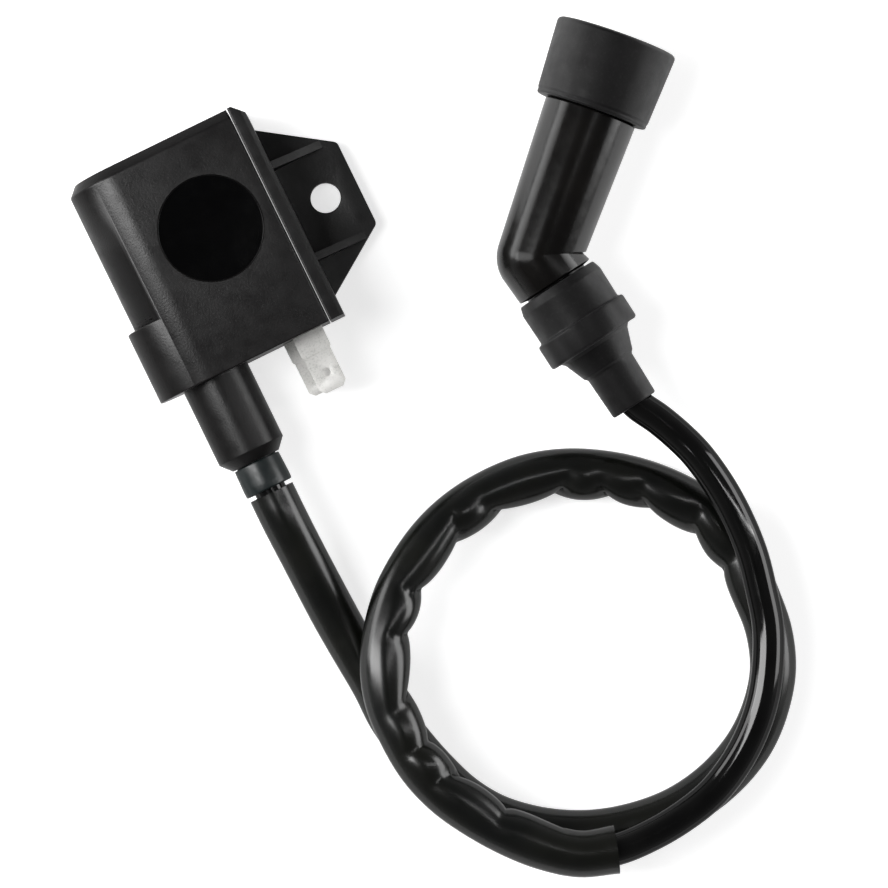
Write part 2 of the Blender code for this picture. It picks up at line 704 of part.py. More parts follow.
def make_primary_winding():
    """Layer of thick wire: one ridge for each turn that shows."""
    top = COIL_TOP_Y - FLANGE_THICKNESS - GAP
    bottom = COIL_BOTTOM_Y + FLANGE_THICKNESS + GAP
    pitch = (top - bottom) / PRIMARY_TURNS
    valley = PRIMARY_WIRE_RADIUS - pitch / 8
    section = [(top, valley)]
    for i in range(PRIMARY_TURNS):
        section.append((top - (i + 0.5) * pitch, PRIMARY_WIRE_RADIUS))
        section.append((top - (i + 1) * pitch, valley))
    section += [(bottom, PRIMARY_TUBE_RADIUS + GAP), (top, PRIMARY_TUBE_RADIUS + GAP)]
    winding = turned("primary_winding", section, BARREL, UP_BARREL, 12, closed=True)
    return finish(winding, COPPER, 60)


def section_tops():
    """Upper face of each winding section, below its flange, and the height of one section."""
    pitch = (COIL_TOP_Y - COIL_BOTTOM_Y - FLANGE_THICKNESS) / SECONDARY_SECTIONS
    tops = [COIL_TOP_Y - FLANGE_THICKNESS - i * pitch for i in range(SECONDARY_SECTIONS)]
    return tops, pitch - FLANGE_THICKNESS


def make_secondary_bobbin():
    """Sectioned bobbin, notched so that the thin wire can cross from section to section."""
    tops, height = section_tops()
    section = [(COIL_TOP_Y, SECONDARY_FLANGE_RADIUS)]
    for top in tops:
        section.append((top, SECONDARY_FLANGE_RADIUS))
        section.append((top, SECONDARY_TUBE_RADIUS))
        section.append((top - height, SECONDARY_TUBE_RADIUS))
        section.append((top - height, SECONDARY_FLANGE_RADIUS))
    section.append((COIL_BOTTOM_Y, SECONDARY_FLANGE_RADIUS))
    section += [(COIL_BOTTOM_Y, SECONDARY_BORE_RADIUS), (COIL_TOP_Y, SECONDARY_BORE_RADIUS)]
    bobbin = turned("secondary_bobbin", section, BARREL, UP_BARREL, 16, closed=True)
    low = (
        BARREL_X - SECONDARY_FLANGE_RADIUS - EMBED,
        COIL_BOTTOM_Y - EMBED,
        BARREL_Z - NOTCH_WIDTH / 2,
    )
    high = (BARREL_X - SECONDARY_TUBE_RADIUS - GAP / 2, COIL_TOP_Y + EMBED, BARREL_Z + NOTCH_WIDTH / 2)
    cut(bobbin, box("secondary_notch", low, high, cutter=True))
    return finish(bobbin, BOBBIN_NYLON)


def make_secondary_winding():
    """Fine wire in every section, joined by the crossing wire in the notch."""
    tops, height = section_tops()
    outer = SECONDARY_FLANGE_RADIUS - GAP
    inner = SECONDARY_TUBE_RADIUS + GAP
    winding = None
    for i, top in enumerate(tops):
        name = "secondary_winding" if i == 0 else f"secondary_section_{i + 1}"
        near, far = top - height + GAP, top - GAP
        coil = ring(name, BARREL, UP_BARREL, near, far, outer, inner, 16, cutter=i > 0)
        if winding is None:
            winding = coil
        else:
            join(winding, coil)
    half = CROSSOVER_WIDTH / 2
    low = (BARREL_X - outer + GAP, tops[-1] - height / 2, BARREL_Z - half)
    high = (BARREL_X - inner - GAP, tops[0] - height / 2, BARREL_Z + half)
    join(winding, box("secondary_crossover", low, high, cutter=True))
    return finish(winding, COPPER)


def hookup_routes():
    """Paths of the wires between the windings, the terminals and the tower's contact."""
    tops, height = section_tops()
    last = tops[-1] - height
    wire_r = PRIMARY_WIRE_RADIUS - HOOKUP_RADIUS
    front, back = BARREL_Z + wire_r, BARREL_Z - wire_r
    leave = COIL_BOTTOM_Y + FLANGE_THICKNESS / 2
    below = BLADE_INNER_Y - SOLDER_INSET
    primary_edge = PRIMARY_BLADE.x - BLADE_ROOT_WIDTH / 2 - GAP
    ground_edge = GROUND_BLADE.x - BLADE_ROOT_WIDTH / 2 - GAP
    notch_x = BARREL_X - (SECONDARY_TUBE_RADIUS + SECONDARY_FLANGE_RADIUS) / 2
    past_bar = CORE_LIMB_END_Y - LIMB_WIDTH - WIRE_SPACING
    between_x = (BARREL_X + SECONDARY_FLANGE_RADIUS + RETURN_LIMB_X - LIMB_WIDTH / 2) / 2
    over_top = CORE_TOP_Y - LIMB_WIDTH / 2
    head_edge = BARREL_X - HV_HEAD_RADIUS - GAP
    head_y = HV_HEAD_Y - HV_HEAD_THICKNESS / 2
    return {
        "primary_start_wire": [
            (BARREL_X, leave, front),
            (BARREL_X, past_bar, front),
            (primary_edge - SOLDER_RUN, below, PRIMARY_BLADE.z),
            (primary_edge, below, PRIMARY_BLADE.z),
        ],
        "primary_end_wire": [
            (BARREL_X, leave, back),
            (BARREL_X, past_bar, back),
            (ground_edge - SOLDER_RUN, below - WIRE_SPACING, GROUND_BLADE.z),
            (ground_edge, below - WIRE_SPACING, GROUND_BLADE.z),
        ],
        "secondary_lead_wire": [
            (notch_x, last - GAP, BARREL_Z),
            (notch_x, past_bar, BARREL_Z),
            (head_edge - PIN_RUN, head_y, BARREL_Z),
            (head_edge, head_y, BARREL_Z),
        ],
        "secondary_return_wire": [
            (notch_x, tops[0] + GAP, BARREL_Z),
            (notch_x, over_top - WIRE_SPACING, BARREL_Z),
            (BARREL_X - LIMB_WIDTH, over_top, front),
            (between_x, over_top, front),
            (between_x, past_bar, front),
            (between_x + PIN_RUN, past_bar - PIN_RUN / 2, GROUND_BLADE.z + WIRE_SPACING),
            (ground_edge, below + HOOKUP_RADIUS, GROUND_BLADE.z),
        ],
    }


def make_hookup_wires():
    for name, route in hookup_routes().items():
        finish(tube(name, route, HOOKUP_RADIUS, 6), COPPER)


def make_hv_contact():
    """Brass pin whose point enters the end of the lead in the tower."""
    head_y = -HV_HEAD_Y
    tip = -HV_PIN_END_Y
    profile = [
        (tip, 0.0),
        (tip - HV_PIN_POINT, HV_PIN_RADIUS),
        (head_y + HV_HEAD_THICKNESS, HV_PIN_RADIUS),
        (head_y + HV_HEAD_THICKNESS, HV_HEAD_RADIUS),
        (head_y, HV_HEAD_RADIUS),
        (head_y, 0.0),
    ]
    return finish(turned("hv_contact", profile, BARREL, -UP_BARREL, 16), BRASS)


def make_potting():
    """Cast resin: it fills the case round the core, the coil, the wires and the terminals."""
    fit = BODY_WALL + GAP
    length = BODY_TOP - BODY_BOTTOM - 2 * fit
    outline = body_section(fit, POTTING_SURFACE_X)
    resin = plate("potting", [outline], length, (0.0, MIDDLE_Y, 0.0), STAND)

    clear = SECONDARY_FLANGE_RADIUS + GAP
    cut(resin, rod("resin_coil", BARREL, UP_BARREL, COIL_BOTTOM_Y - GAP, COIL_TOP_Y + GAP, clear, 24, True))

    stack = (SHEET_COUNT - 1) * SHEET_PITCH / 2 + SHEET_THICKNESS / 2 + GAP
    half = LIMB_WIDTH / 2 + GAP
    left, right = BARREL_X - half, RETURN_LIMB_X + half
    top, bottom = CORE_TOP_Y + GAP, CORE_LIMB_END_Y - GAP - LIMB_WIDTH - GAP
    near, far = BARREL_Z - stack, BARREL_Z + stack
    window_top = CORE_TOP_Y - LIMB_WIDTH - GAP
    window_bottom = CORE_LIMB_END_Y
    core = box("resin_core", (left, bottom, near), (right, top, far), cutter=True)
    low = (BARREL_X + half, window_bottom, near - EMBED)
    high = (RETURN_LIMB_X - half, window_top, far + EMBED)
    window = box("resin_core_window", low, high, cutter=True)
    cut(core, window)
    cut(resin, core)

    cut(resin, blade_slot("resin_primary_slot", PRIMARY_BLADE))
    cut(resin, blade_slot("resin_ground_slot", GROUND_BLADE))
    head_near = -HV_HEAD_Y - GAP
    profile = [
        (-BODY_BOTTOM, 0.0),
        (-BODY_BOTTOM, HV_PIN_RADIUS + GAP),
        (head_near + HV_HEAD_THICKNESS + 2 * GAP, HV_PIN_RADIUS + GAP),
        (head_near + HV_HEAD_THICKNESS + 2 * GAP, HV_HEAD_RADIUS + GAP),
        (head_near, HV_HEAD_RADIUS + GAP),
        (head_near, 0.0),
    ]
    cut(resin, turned("resin_contact", profile, BARREL, -UP_BARREL, 16, cutter=True))
    for name, route in hookup_routes().items():
        path = [Vector(p) for p in route]
        path[0] -= (path[1] - path[0]).normalized() * EMBED
        path[-1] += (path[-1] - path[-2]).normalized() * EMBED
        cut(resin, tube("resin_" + name, path, HOOKUP_RADIUS + GAP, 6, cutter=True))
    return finish(resin, EPOXY)


# ---------------------------------------------------------------- lead and sleeve

CAP_MOUTH_POINT = ELBOW + CABLE_ARM * CABLE_MOUTH
CAP_PIVOT_POINT = ELBOW + CABLE_ARM * CAP_PIVOT
LEAD_START = BARREL + UP_BARREL * (TOWER_PIVOT_Y - TOWER_PIVOT_HALF_GAP)
LEAD_END = CAP_PIVOT_POINT + CABLE_ARM * CAP_PIVOT_HALF_GAP


def smooth_path(waypoints, steps=16):
    """Catmull-Rom curve through the waypoints, leaving out the two outer spans."""
    path = []
    for a, b, c, d in zip(waypoints, waypoints[1:], waypoints[2:], waypoints[3:]):
        for i in range(steps):
            t = i / steps
            even = 2 * b + (c - a) * t + (2 * a - 5 * b + 4 * c - d) * t * t
            path.append((even + (3 * b - a - 3 * c + d) * t * t * t) / 2)
    path.append(waypoints[-2])
    return path


def lead_waypoints():
    """Points that the lead's centre line passes through, from tower to cap."""
    points = [BARREL + UP_BARREL * SEAL_END_Y, LEAD_START]
    points += [Vector(p) * MM for p in RUN_DOWN]
    for angle, radius, height in LEAD_COIL:
        turn = math.radians(angle)
        arm = Vector((math.cos(turn), math.sin(turn), 0.0)) * radius * MM
        points.append(LOOP_CENTRE + arm + Vector((0.0, 0.0, height * MM)))
    points += [LEAD_END, CAP_MOUTH_POINT]
    return points


def lead_route():
    """Evenly spaced points along the lead between its two bending places."""
    dense = smooth_path(lead_waypoints())
    lengths = [0.0]
    for a, b in zip(dense, dense[1:]):
        lengths.append(lengths[-1] + (b - a).length)
    count = round(lengths[-1] / STATION_SPACING)
    stations = []
    k = 0
    for i in range(count + 1):
        wanted = lengths[-1] * i / count
        while k < len(dense) - 2 and lengths[k + 1] < wanted:
            k += 1
        share = (wanted - lengths[k]) / (lengths[k + 1] - lengths[k])
        stations.append(dense[k].lerp(dense[k + 1], share))
    return stations


def make_lead():
    """Lead in three stretches that meet where it bends, and the sleeve over the middle one."""
    route = lead_route()
    finish(hose("lead_jacket", route, LEAD_RADIUS, LEAD_WALL, 8), LEAD_JACKET)
    finish(tube("lead_conductor", route, CONDUCTOR_RADIUS, 6), COPPER)

    covered = round(SLEEVE_LENGTH / STATION_SPACING)
    sleeve_start = BARREL + UP_BARREL * (TOWER_PIVOT_Y - SLEEVE_START)
    sleeve_route = [sleeve_start] + route[1:covered]
    finish(hose("sleeve", sleeve_route, SLEEVE_RADIUS, SLEEVE_WALL, 10), SLEEVE_VINYL)

    hole = LEAD_RADIUS - LEAD_WALL
    tower_far = -TOWER_PIVOT_Y - TOWER_PIVOT_HALF_GAP
    tower_near = -TOWER_FLOOR_Y + GAP
    down = -UP_BARREL
    tower_jacket = ring(
        "lead_jacket_tower_end", BARREL, down, tower_near, tower_far, LEAD_RADIUS, hole, 12
    )
    finish(tower_jacket, LEAD_JACKET)
    tower_core_near = -HV_PIN_END_Y + GAP
    tower_core = rod(
        "lead_conductor_tower_end", BARREL, down, tower_core_near, tower_far, CONDUCTOR_RADIUS, 12
    )
    finish(tower_core, COPPER)

    cap_far = CAP_PIVOT - CAP_PIVOT_HALF_GAP
    cap_jacket = ring(
        "lead_jacket_cap_end", ELBOW, CABLE_ARM, LEAD_END_IN_CAP, cap_far, LEAD_RADIUS, hole, 12
    )
    finish(cap_jacket, LEAD_JACKET)
    cap_core_near = SCREW_END + GAP
    cap_core = rod("lead_conductor_cap_end", ELBOW, CABLE_ARM, cap_core_near, cap_far, CONDUCTOR_RADIUS, 12)
    finish(cap_core, COPPER)


# ---------------------------------------------------------------- plug cap


def make_elbow_shell():
    """Moulded resin elbow, bored along both arms."""
    plug_arm = [
        (SHELL_END, 0.0),
        (SHELL_END, SHELL_SPIGOT_RADIUS),
        (SHELL_STEP, SHELL_SPIGOT_RADIUS),
        (SHELL_STEP, PLUG_ARM_END_RADIUS),
        (0.0, PLUG_ARM_ROOT_RADIUS),
        (0.0, 0.0),
    ]
    shell = turned("elbow_shell", plug_arm, ELBOW, PLUG_ARM, 24)
    cable_arm = [
        (CABLE_SPIGOT_END, 0.0),
        (CABLE_SPIGOT_END, CABLE_SPIGOT_RADIUS),
        (CABLE_ARM_STEP, CABLE_SPIGOT_RADIUS),
        (CABLE_ARM_STEP, CABLE_ARM_RADIUS),
        (0.0, CABLE_ARM_RADIUS),
        (0.0, 0.0),
    ]
    join(shell, turned("shell_cable_arm", cable_arm, ELBOW, CABLE_ARM, 24, cutter=True))
    join(shell, ball("shell_knuckle", ELBOW, ELBOW_RADIUS, 20))

    well = [
        (SHELL_END + EMBED, 0.0),
        (SHELL_END + EMBED, PLUG_WELL_RADIUS),
        (PLUG_WELL_FLOOR, PLUG_WELL_RADIUS),
        (PLUG_WELL_FLOOR, RESISTOR_BORE_RADIUS),
        (0.0, RESISTOR_BORE_RADIUS),
        (0.0, 0.0),
    ]
    cable_bore = [
        (CABLE_SPIGOT_END + EMBED, 0.0),
        (CABLE_SPIGOT_END + EMBED, LEAD_BORE_RADIUS),
        (CABLE_BORE_FLOOR, LEAD_BORE_RADIUS),
        (CABLE_BORE_FLOOR, SCREW_HOLE_RADIUS),
        (0.0, SCREW_HOLE_RADIUS),
        (0.0, 0.0),
    ]
    cut(shell, ball("shell_elbow_cavity", ELBOW, ELBOW_CAVITY_RADIUS, 14))
    cut(shell, turned("shell_well", well, ELBOW, PLUG_ARM, 16, cutter=True))
    cut(shell, turned("shell_cable_bore", cable_bore, ELBOW, CABLE_ARM, 12, cutter=True))
    return finish(shell, CAP_RESIN)


def make_cable_boot():
    """Rubber boot over the cable arm: hood, flange, cone and a thin gaiter round the lead."""
    inner = CABLE_SPIGOT_RADIUS + GAP
    section = [
        (CABLE_MOUTH, GAITER_RADIUS),
        (CONE_END, GAITER_RADIUS),
        (CONE_END, CONE_TIP_RADIUS),
        (FLANGE_END, CONE_ROOT_RADIUS),
        (FLANGE_END, FLANGE_RADIUS),
        (FLANGE_START, FLANGE_RADIUS),
        (FLANGE_START, HOOD_RADIUS),
        (HOOD_START, HOOD_RADIUS),
        (HOOD_START, inner),
        (CABLE_SPIGOT_END + GAP, inner),
        (CABLE_SPIGOT_END + GAP, LEAD_BORE_RADIUS),
        (CABLE_MOUTH, LEAD_BORE_RADIUS),
    ]
    boot = turned("cable_boot", section, ELBOW, CABLE_ARM, 20, closed=True)
    return finish(boot, BOOT_RUBBER)


def make_plug_boot():
    """Rubber boot over the plug end, with a lip that seals on the plug."""
    inner = SHELL_SPIGOT_RADIUS + GAP
    section = [
        (PLUG_BOOT_END, PLUG_BOOT_MOUTH_RADIUS),
        (PLUG_BOOT_START, PLUG_BOOT_ROOT_RADIUS),
        (PLUG_BOOT_START, inner),
        (PLUG_BOOT_LIP, inner),
        (PLUG_BOOT_LIP, PLUG_BOOT_LIP_RADIUS),
        (PLUG_BOOT_END - PLUG_BOOT_LEAD_IN, PLUG_BOOT_LIP_RADIUS),
        (PLUG_BOOT_END, PLUG_BOOT_LIP_RADIUS + PLUG_BOOT_LEAD_IN),
    ]
    boot = turned("plug_boot", section, ELBOW, PLUG_ARM, 28, closed=True)
    return finish(boot, BOOT_RUBBER)


def make_wood_screw():
    """Threaded brass spike that the lead is screwed on to."""
    near, far = SCREW_HEAD
    thread_end = SCREW_END - SCREW_POINT
    count = int((thread_end - THREAD_START) / THREAD_PITCH)
    root = SCREW_RADIUS - THREAD_DEPTH
    profile = [(SCREW_END, 0.0), (thread_end, root)]
    for i in range(count):
        crest = thread_end - (i + 0.5) * THREAD_PITCH
        profile.append((crest, SCREW_RADIUS))
        profile.append((crest - THREAD_PITCH / 2, root))
    profile += [(far, root), (far, SCREW_HEAD_RADIUS), (near, SCREW_HEAD_RADIUS), (near, 0.0)]
    return finish(turned("wood_screw", profile, ELBOW, CABLE_ARM, 12), BRASS)


def make_contact_spring():
    """Coil spring that presses the resistor on to the socket."""
    side = Vector((0.0, 0.0, 1.0))
    other = PLUG_ARM.cross(side)
    near, far = SPRING_SPAN
    points = []
    steps = 8 * SPRING_TURNS
    for i in range(steps + 1):
        turn = math.tau * SPRING_TURNS * i / steps
        along = near + (far - near) * i / steps
        rim = side * math.cos(turn) + other * math.sin(turn)
        points.append(ELBOW + PLUG_ARM * along + rim * SPRING_RADIUS)
    return finish(tube("contact_spring", points, SPRING_WIRE, 4), SPRING_STEEL)


def make_resistor():
    """Ceramic rod with a metal cap on each end."""
    near, far = RESISTOR_SPAN
    finish(rod("resistor", ELBOW, PLUG_ARM, near, far, RESISTOR_RADIUS, 16), CERAMIC)
    inner = RESISTOR_RADIUS + GAP
    outer = inner + END_CAP_WALL
    wall = END_CAP_WALL
    ends = (
        ("resistor_cap_inner", ELBOW + PLUG_ARM * near, -PLUG_ARM),
        ("resistor_cap_outer", ELBOW + PLUG_ARM * far, PLUG_ARM),
    )
    for name, spot, outward in ends:
        profile = [
            (GAP + wall, 0.0),
            (GAP + wall, outer),
            (-END_CAP_DEPTH, outer),
            (-END_CAP_DEPTH, inner),
            (GAP, inner),
            (GAP, 0.0),
        ]
        finish(turned(name, profile, spot, outward, 16), TINNED)


def make_plug_socket():
    """Brass cup that takes the plug's terminal nut, slotted for the two spring clips."""
    flange_near, flange_far = SOCKET_FLANGE
    profile = [
        (SOCKET_BORE_FLOOR, 0.0),
        (SOCKET_BORE_FLOOR, SOCKET_BORE_RADIUS),
        (SOCKET_END, SOCKET_BORE_RADIUS),
        (SOCKET_END, SOCKET_RADIUS),
        (flange_far, SOCKET_RADIUS),
        (flange_far, SOCKET_FLANGE_RADIUS),
        (flange_near, SOCKET_FLANGE_RADIUS),
        (flange_near, RESISTOR_RADIUS),
        (SOCKET_START, RESISTOR_RADIUS),
        (SOCKET_START, 0.0),
    ]
    socket = turned("plug_socket", profile, ELBOW, PLUG_ARM, 16)
    side = PLUG_ARM.cross(Vector((0.0, 0.0, 1.0)))
    half = CLIP_RADIUS + GAP
    for way, name in ((1, "socket_slot_left"), (-1, "socket_slot_right")):
        slot = box(name, (-half, -half * 2, -SOCKET_RADIUS), (half, half * 2, SOCKET_RADIUS), cutter=True)
        slot.location = ELBOW + PLUG_ARM * CLIP_AT - side * way * (CLIP_OFFSET + GAP)
        slot.rotation_euler = (0.0, 0.0, PLUG_ARM_ANGLE)
        cut(socket, slot)
    return finish(socket, BRASS)


def make_clips():
    """Two spring-wire bars that snap into the groove of the plug's terminal nut."""
    side = PLUG_ARM.cross(Vector((0.0, 0.0, 1.0)))
    half = CLIP_LENGTH / 2
    for way, name in ((1, "clip_left"), (-1, "clip_right")):
        spot = ELBOW + PLUG_ARM * CLIP_AT - side * way * CLIP_OFFSET
        finish(rod(name, spot, (0, 0, 1), -half, half, CLIP_RADIUS, 10), SPRING_STEEL)


make_case()
make_mount_cover()
make_tower_seal()
make_terminal("primary_terminal", PRIMARY_BLADE)
make_terminal("ground_terminal", GROUND_BLADE)
make_core()
make_primary_bobbin()
make_primary_winding()
make_secondary_bobbin()
make_secondary_winding()
make_hookup_wires()
make_hv_contact()
make_potting()
make_lead()
make_elbow_shell()
make_cable_boot()
make_plug_boot()
make_wood_screw()
finish(rod("elbow_contact", ELBOW, PLUG_ARM, *CONTACT_SPAN, CONTACT_RADIUS, 16), BRASS)
make_contact_spring()
make_resistor()
make_plug_socket()
make_clips()
hang_on_bolt_axis()
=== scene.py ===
"""Looks of the ignition coil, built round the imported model."""

import json
import math
import random

import bmesh
import bpy
from mathutils import Matrix, Vector


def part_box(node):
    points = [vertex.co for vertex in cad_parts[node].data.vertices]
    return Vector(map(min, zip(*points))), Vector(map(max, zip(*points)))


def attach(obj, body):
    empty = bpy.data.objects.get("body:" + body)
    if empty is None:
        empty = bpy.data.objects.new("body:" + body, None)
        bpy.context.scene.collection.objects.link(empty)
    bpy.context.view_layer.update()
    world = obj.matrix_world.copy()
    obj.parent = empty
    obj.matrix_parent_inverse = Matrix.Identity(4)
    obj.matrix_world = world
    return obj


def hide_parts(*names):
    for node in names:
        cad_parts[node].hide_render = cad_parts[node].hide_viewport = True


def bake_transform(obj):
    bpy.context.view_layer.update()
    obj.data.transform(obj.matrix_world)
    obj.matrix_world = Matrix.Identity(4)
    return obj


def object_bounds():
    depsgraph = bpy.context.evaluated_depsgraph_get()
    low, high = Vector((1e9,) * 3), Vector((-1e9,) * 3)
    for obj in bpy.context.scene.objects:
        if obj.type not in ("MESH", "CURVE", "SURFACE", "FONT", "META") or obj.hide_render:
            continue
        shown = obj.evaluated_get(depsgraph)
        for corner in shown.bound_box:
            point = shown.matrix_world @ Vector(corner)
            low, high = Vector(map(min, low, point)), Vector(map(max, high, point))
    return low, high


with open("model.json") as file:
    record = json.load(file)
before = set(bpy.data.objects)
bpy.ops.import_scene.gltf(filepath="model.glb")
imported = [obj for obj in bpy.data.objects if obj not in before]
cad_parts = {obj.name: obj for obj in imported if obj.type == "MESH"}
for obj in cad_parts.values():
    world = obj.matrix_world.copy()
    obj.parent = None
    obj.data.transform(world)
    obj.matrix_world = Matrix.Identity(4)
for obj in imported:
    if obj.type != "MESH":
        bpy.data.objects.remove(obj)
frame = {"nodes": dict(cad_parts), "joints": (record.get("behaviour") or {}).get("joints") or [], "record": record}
cad_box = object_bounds()

MM = 0.001
UP = Vector((0.0, 0.0, 1.0))

# ---------------------------------------------------------------- places taken from the frame

JOINTS = {joint["name"]: joint for joint in frame["joints"]}
ELBOW = Vector(JOINTS["cap_turn"]["pos_m"])
CABLE_ARM = Vector(JOINTS["cap_turn"]["axis"]).normalized()
PLUG_ARM = Vector(JOINTS["plug_boot_slide"]["axis"]).normalized()
TOWER_PIVOT = Vector(JOINTS["lead_flex_tower"]["pos_m"])
CAP_PIVOT = Vector(JOINTS["lead_flex_cap"]["pos_m"])
BARREL = Vector((TOWER_PIVOT.x, 0.0, TOWER_PIVOT.z))
DOWN_TOWER = Vector((0.0, -1.0, 0.0))


def along(node, origin, axis):
    """Nearest and farthest reach of a CAD node along an axis, and its largest radius about it."""
    reach, radii = [], []
    for vertex in frame["nodes"][node].data.vertices:
        arm = vertex.co - origin
        share = arm.dot(axis)
        reach.append(share)
        radii.append((arm - axis * share).length)
    return min(reach), max(reach), max(radii)


def lead_centre_line():
    """Middle of each ring of the CAD conductor, in order from the tower to the cap."""
    mesh = frame["nodes"]["lead_conductor"].data
    radius = along("lead_conductor_tower_end", BARREL, DOWN_TOWER)[2]
    rings = []
    ring_of = {}
    for vertex in mesh.vertices:
        for number, ring in enumerate(rings):
            if (ring[0] - vertex.co).length < 2.2 * radius:
                if all((other - vertex.co).length > 1e-6 for other in ring):
                    ring.append(vertex.co.copy())
                ring_of[vertex.index] = number
                break
        else:
            ring_of[vertex.index] = len(rings)
            rings.append([vertex.co.copy()])
    centres = [sum(ring, Vector()) / len(ring) for ring in rings]
    joined = {number: set() for number in range(len(rings))}
    for edge in mesh.edges:
        a, b = (ring_of[v] for v in edge.vertices)
        if a != b:
            joined[a].add(b)
            joined[b].add(a)
    here = min(joined, key=lambda n: (centres[n] - TOWER_PIVOT).length)
    order = [here]
    while True:
        onward = [n for n in joined[here] if n not in order]
        if not onward:
            return [centres[n] for n in order]
        here = onward[0]
        order.append(here)


# ---------------------------------------------------------------- mesh tools


def smooth_path(points, steps):
    """Catmull-Rom curve through every point."""
    ends = [points[0] * 2 - points[1]] + points + [points[-1] * 2 - points[-2]]
    path = []
    for a, b, c, d in zip(ends, ends[1:], ends[2:], ends[3:]):
        for i in range(steps):
            t = i / steps
            even = 2 * b + (c - a) * t + (2 * a - 5 * b + 4 * c - d) * t * t
            path.append((even + (3 * b - a - 3 * c + d) * t * t * t) / 2)
    path.append(points[-1])
    return path


def walk(path, spacing):
    """Points evenly spaced along a path, with their distance from its start."""
    lengths = [0.0]
    for a, b in zip(path, path[1:]):
        lengths.append(lengths[-1] + (b - a).length)
    count = max(1, round(lengths[-1] / spacing))
    stations, k = [], 0
    for i in range(count + 1):
        wanted = lengths[-1] * i / count
        while k < len(path) - 2 and lengths[k + 1] < wanted:
            k += 1
        share = (wanted - lengths[k]) / (lengths[k + 1] - lengths[k])
        stations.append((path[k].lerp(path[k + 1], share), wanted))
    return stations


def rounded(points, radii, closed=True, steps=5):
    """Outline of flat points with its corners rounded; one radius, or one for each point."""
    points = [Vector(p) for p in points]
    if not isinstance(radii, (list, tuple)):
        radii = [radii] * len(points)
    outline = []
    for i, (corner, radius) in enumerate(zip(points, radii)):
        at_end = not closed and i in (0, len(points) - 1)
        back = points[i - 1] - corner
        ahead = points[(i + 1) % len(points)] - corner
        if at_end or radius <= 0 or back.angle(ahead) > math.radians(178):
            outline.append(corner)
            continue
        half = back.angle(ahead) / 2
        setback = min(radius / math.tan(half), 0.49 * back.length, 0.49 * ahead.length)
        first = corner + back.normalized() * setback
        last = corner + ahead.normalized() * setback
        middle = (back.normalized() + ahead.normalized()).normalized()
        centre = corner + middle * (setback / math.cos(half))
        reach = (first - centre).length
        one, other = (first - centre) / reach, (last - centre) / reach
        for k in range(steps + 1):
            outline.append(centre + one.slerp(other, k / steps) * reach)
    return outline


def piece(name, corners, faces, *materials, sharp=35):
    """New object from corners and faces, with its faces turned outwards and shaded smooth."""
    mesh = bpy.data.meshes.new(name)
    mesh.from_pydata([tuple(c) for c in corners], [], faces)
    shape = bmesh.new()
    shape.from_mesh(mesh)
    bmesh.ops.remove_doubles(shape, verts=shape.verts, dist=1e-7)
    bmesh.ops.recalc_face_normals(shape, faces=shape.faces)
    shape.to_mesh(mesh)
    shape.free()
    for material in materials:
        mesh.materials.append(material)
    thing = bpy.data.objects.new(name, mesh)
    bpy.context.scene.collection.objects.link(thing)
    shade(thing, sharp)
    return thing


def shade(thing, sharp):
    """Smooth shading with edges kept sharp above an angle."""
    thing.data.shade_smooth()
    thing.data.set_sharp_from_angle(angle=math.radians(sharp))


def loft(name, rings, *materials, closed=False, sharp=35):
    """Skin over rings of equal length; its ends are capped unless the rings close on themselves."""
    count = len(rings[0])
    corners = [corner for ring in rings for corner in ring]
    faces = []
    last = len(rings) if closed else len(rings) - 1
    for i in range(last):
        here, there = i * count, (i + 1) % len(rings) * count
        for k in range(count):
            n = (k + 1) % count
            faces.append((here + k, here + n, there + n, there + k))
    if not closed:
        faces.append(tuple(range(count - 1, -1, -1)))
        faces.append(tuple(range((len(rings) - 1) * count, len(rings) * count)))
    return piece(name, corners, faces, *materials, sharp=sharp)


def cross_axes(axis):
    """Two directions square to an axis, the first as level as it can be."""
    level = UP.cross(axis)
    if level.length < 0.1:
        level = Vector((1.0, 0.0, 0.0))
    level.normalize()
    return level, axis.cross(level).normalized()


def lathe(name, profile, origin, axis, *materials, steps=96, sharp=35, shape=None):
    """Profile of (distance along the axis, radius) points turned into a ring-shaped or solid piece.

    A profile that starts and ends on the axis gives a solid; any other is a ring's section.
    shape(distance, angle, radius) may change the radius, for ribs and flats.
    """
    level, other = cross_axes(axis)
    solid = profile[0][1] <= 1e-9 and profile[-1][1] <= 1e-9
    rows = profile[1:-1] if solid else profile
    rings = []
    for distance, radius in rows:
        ring = []
        for k in range(steps):
            angle = math.tau * k / steps
            reach = shape(distance, angle, radius) if shape else radius
            spoke = level * math.cos(angle) + other * math.sin(angle)
            ring.append(origin + axis * distance + spoke * reach)
        rings.append(ring)
    return loft(name, rings, *materials, closed=not solid, sharp=sharp)


def prism(name, outline, place, depth, *materials, sharp=35):
    """Flat outline carried along a direction; place(u, v) gives the first end's corners."""
    near = [place(u, v) for u, v in outline]
    far = [corner + depth for corner in near]
    return loft(name, [near, far], *materials, sharp=sharp)


def block(name, low, high, *materials):
    """Box between two corners, used to build up or cut other pieces."""
    outline = [(low.x, low.y), (high.x, low.y), (high.x, high.y), (low.x, high.y)]
    depth = Vector((0.0, 0.0, high.z - low.z))
    return prism(name, outline, lambda u, v: Vector((u, v, low.z)), depth, *materials)


def settle(thing, sharp=35):
    """Apply a piece's modifiers to its mesh."""
    bpy.context.view_layer.update()
    evaluated = thing.evaluated_get(bpy.context.evaluated_depsgraph_get())
    mesh = bpy.data.meshes.new_from_object(evaluated)
    thing.modifiers.clear()
    thing.data = mesh
    shade(thing, sharp)


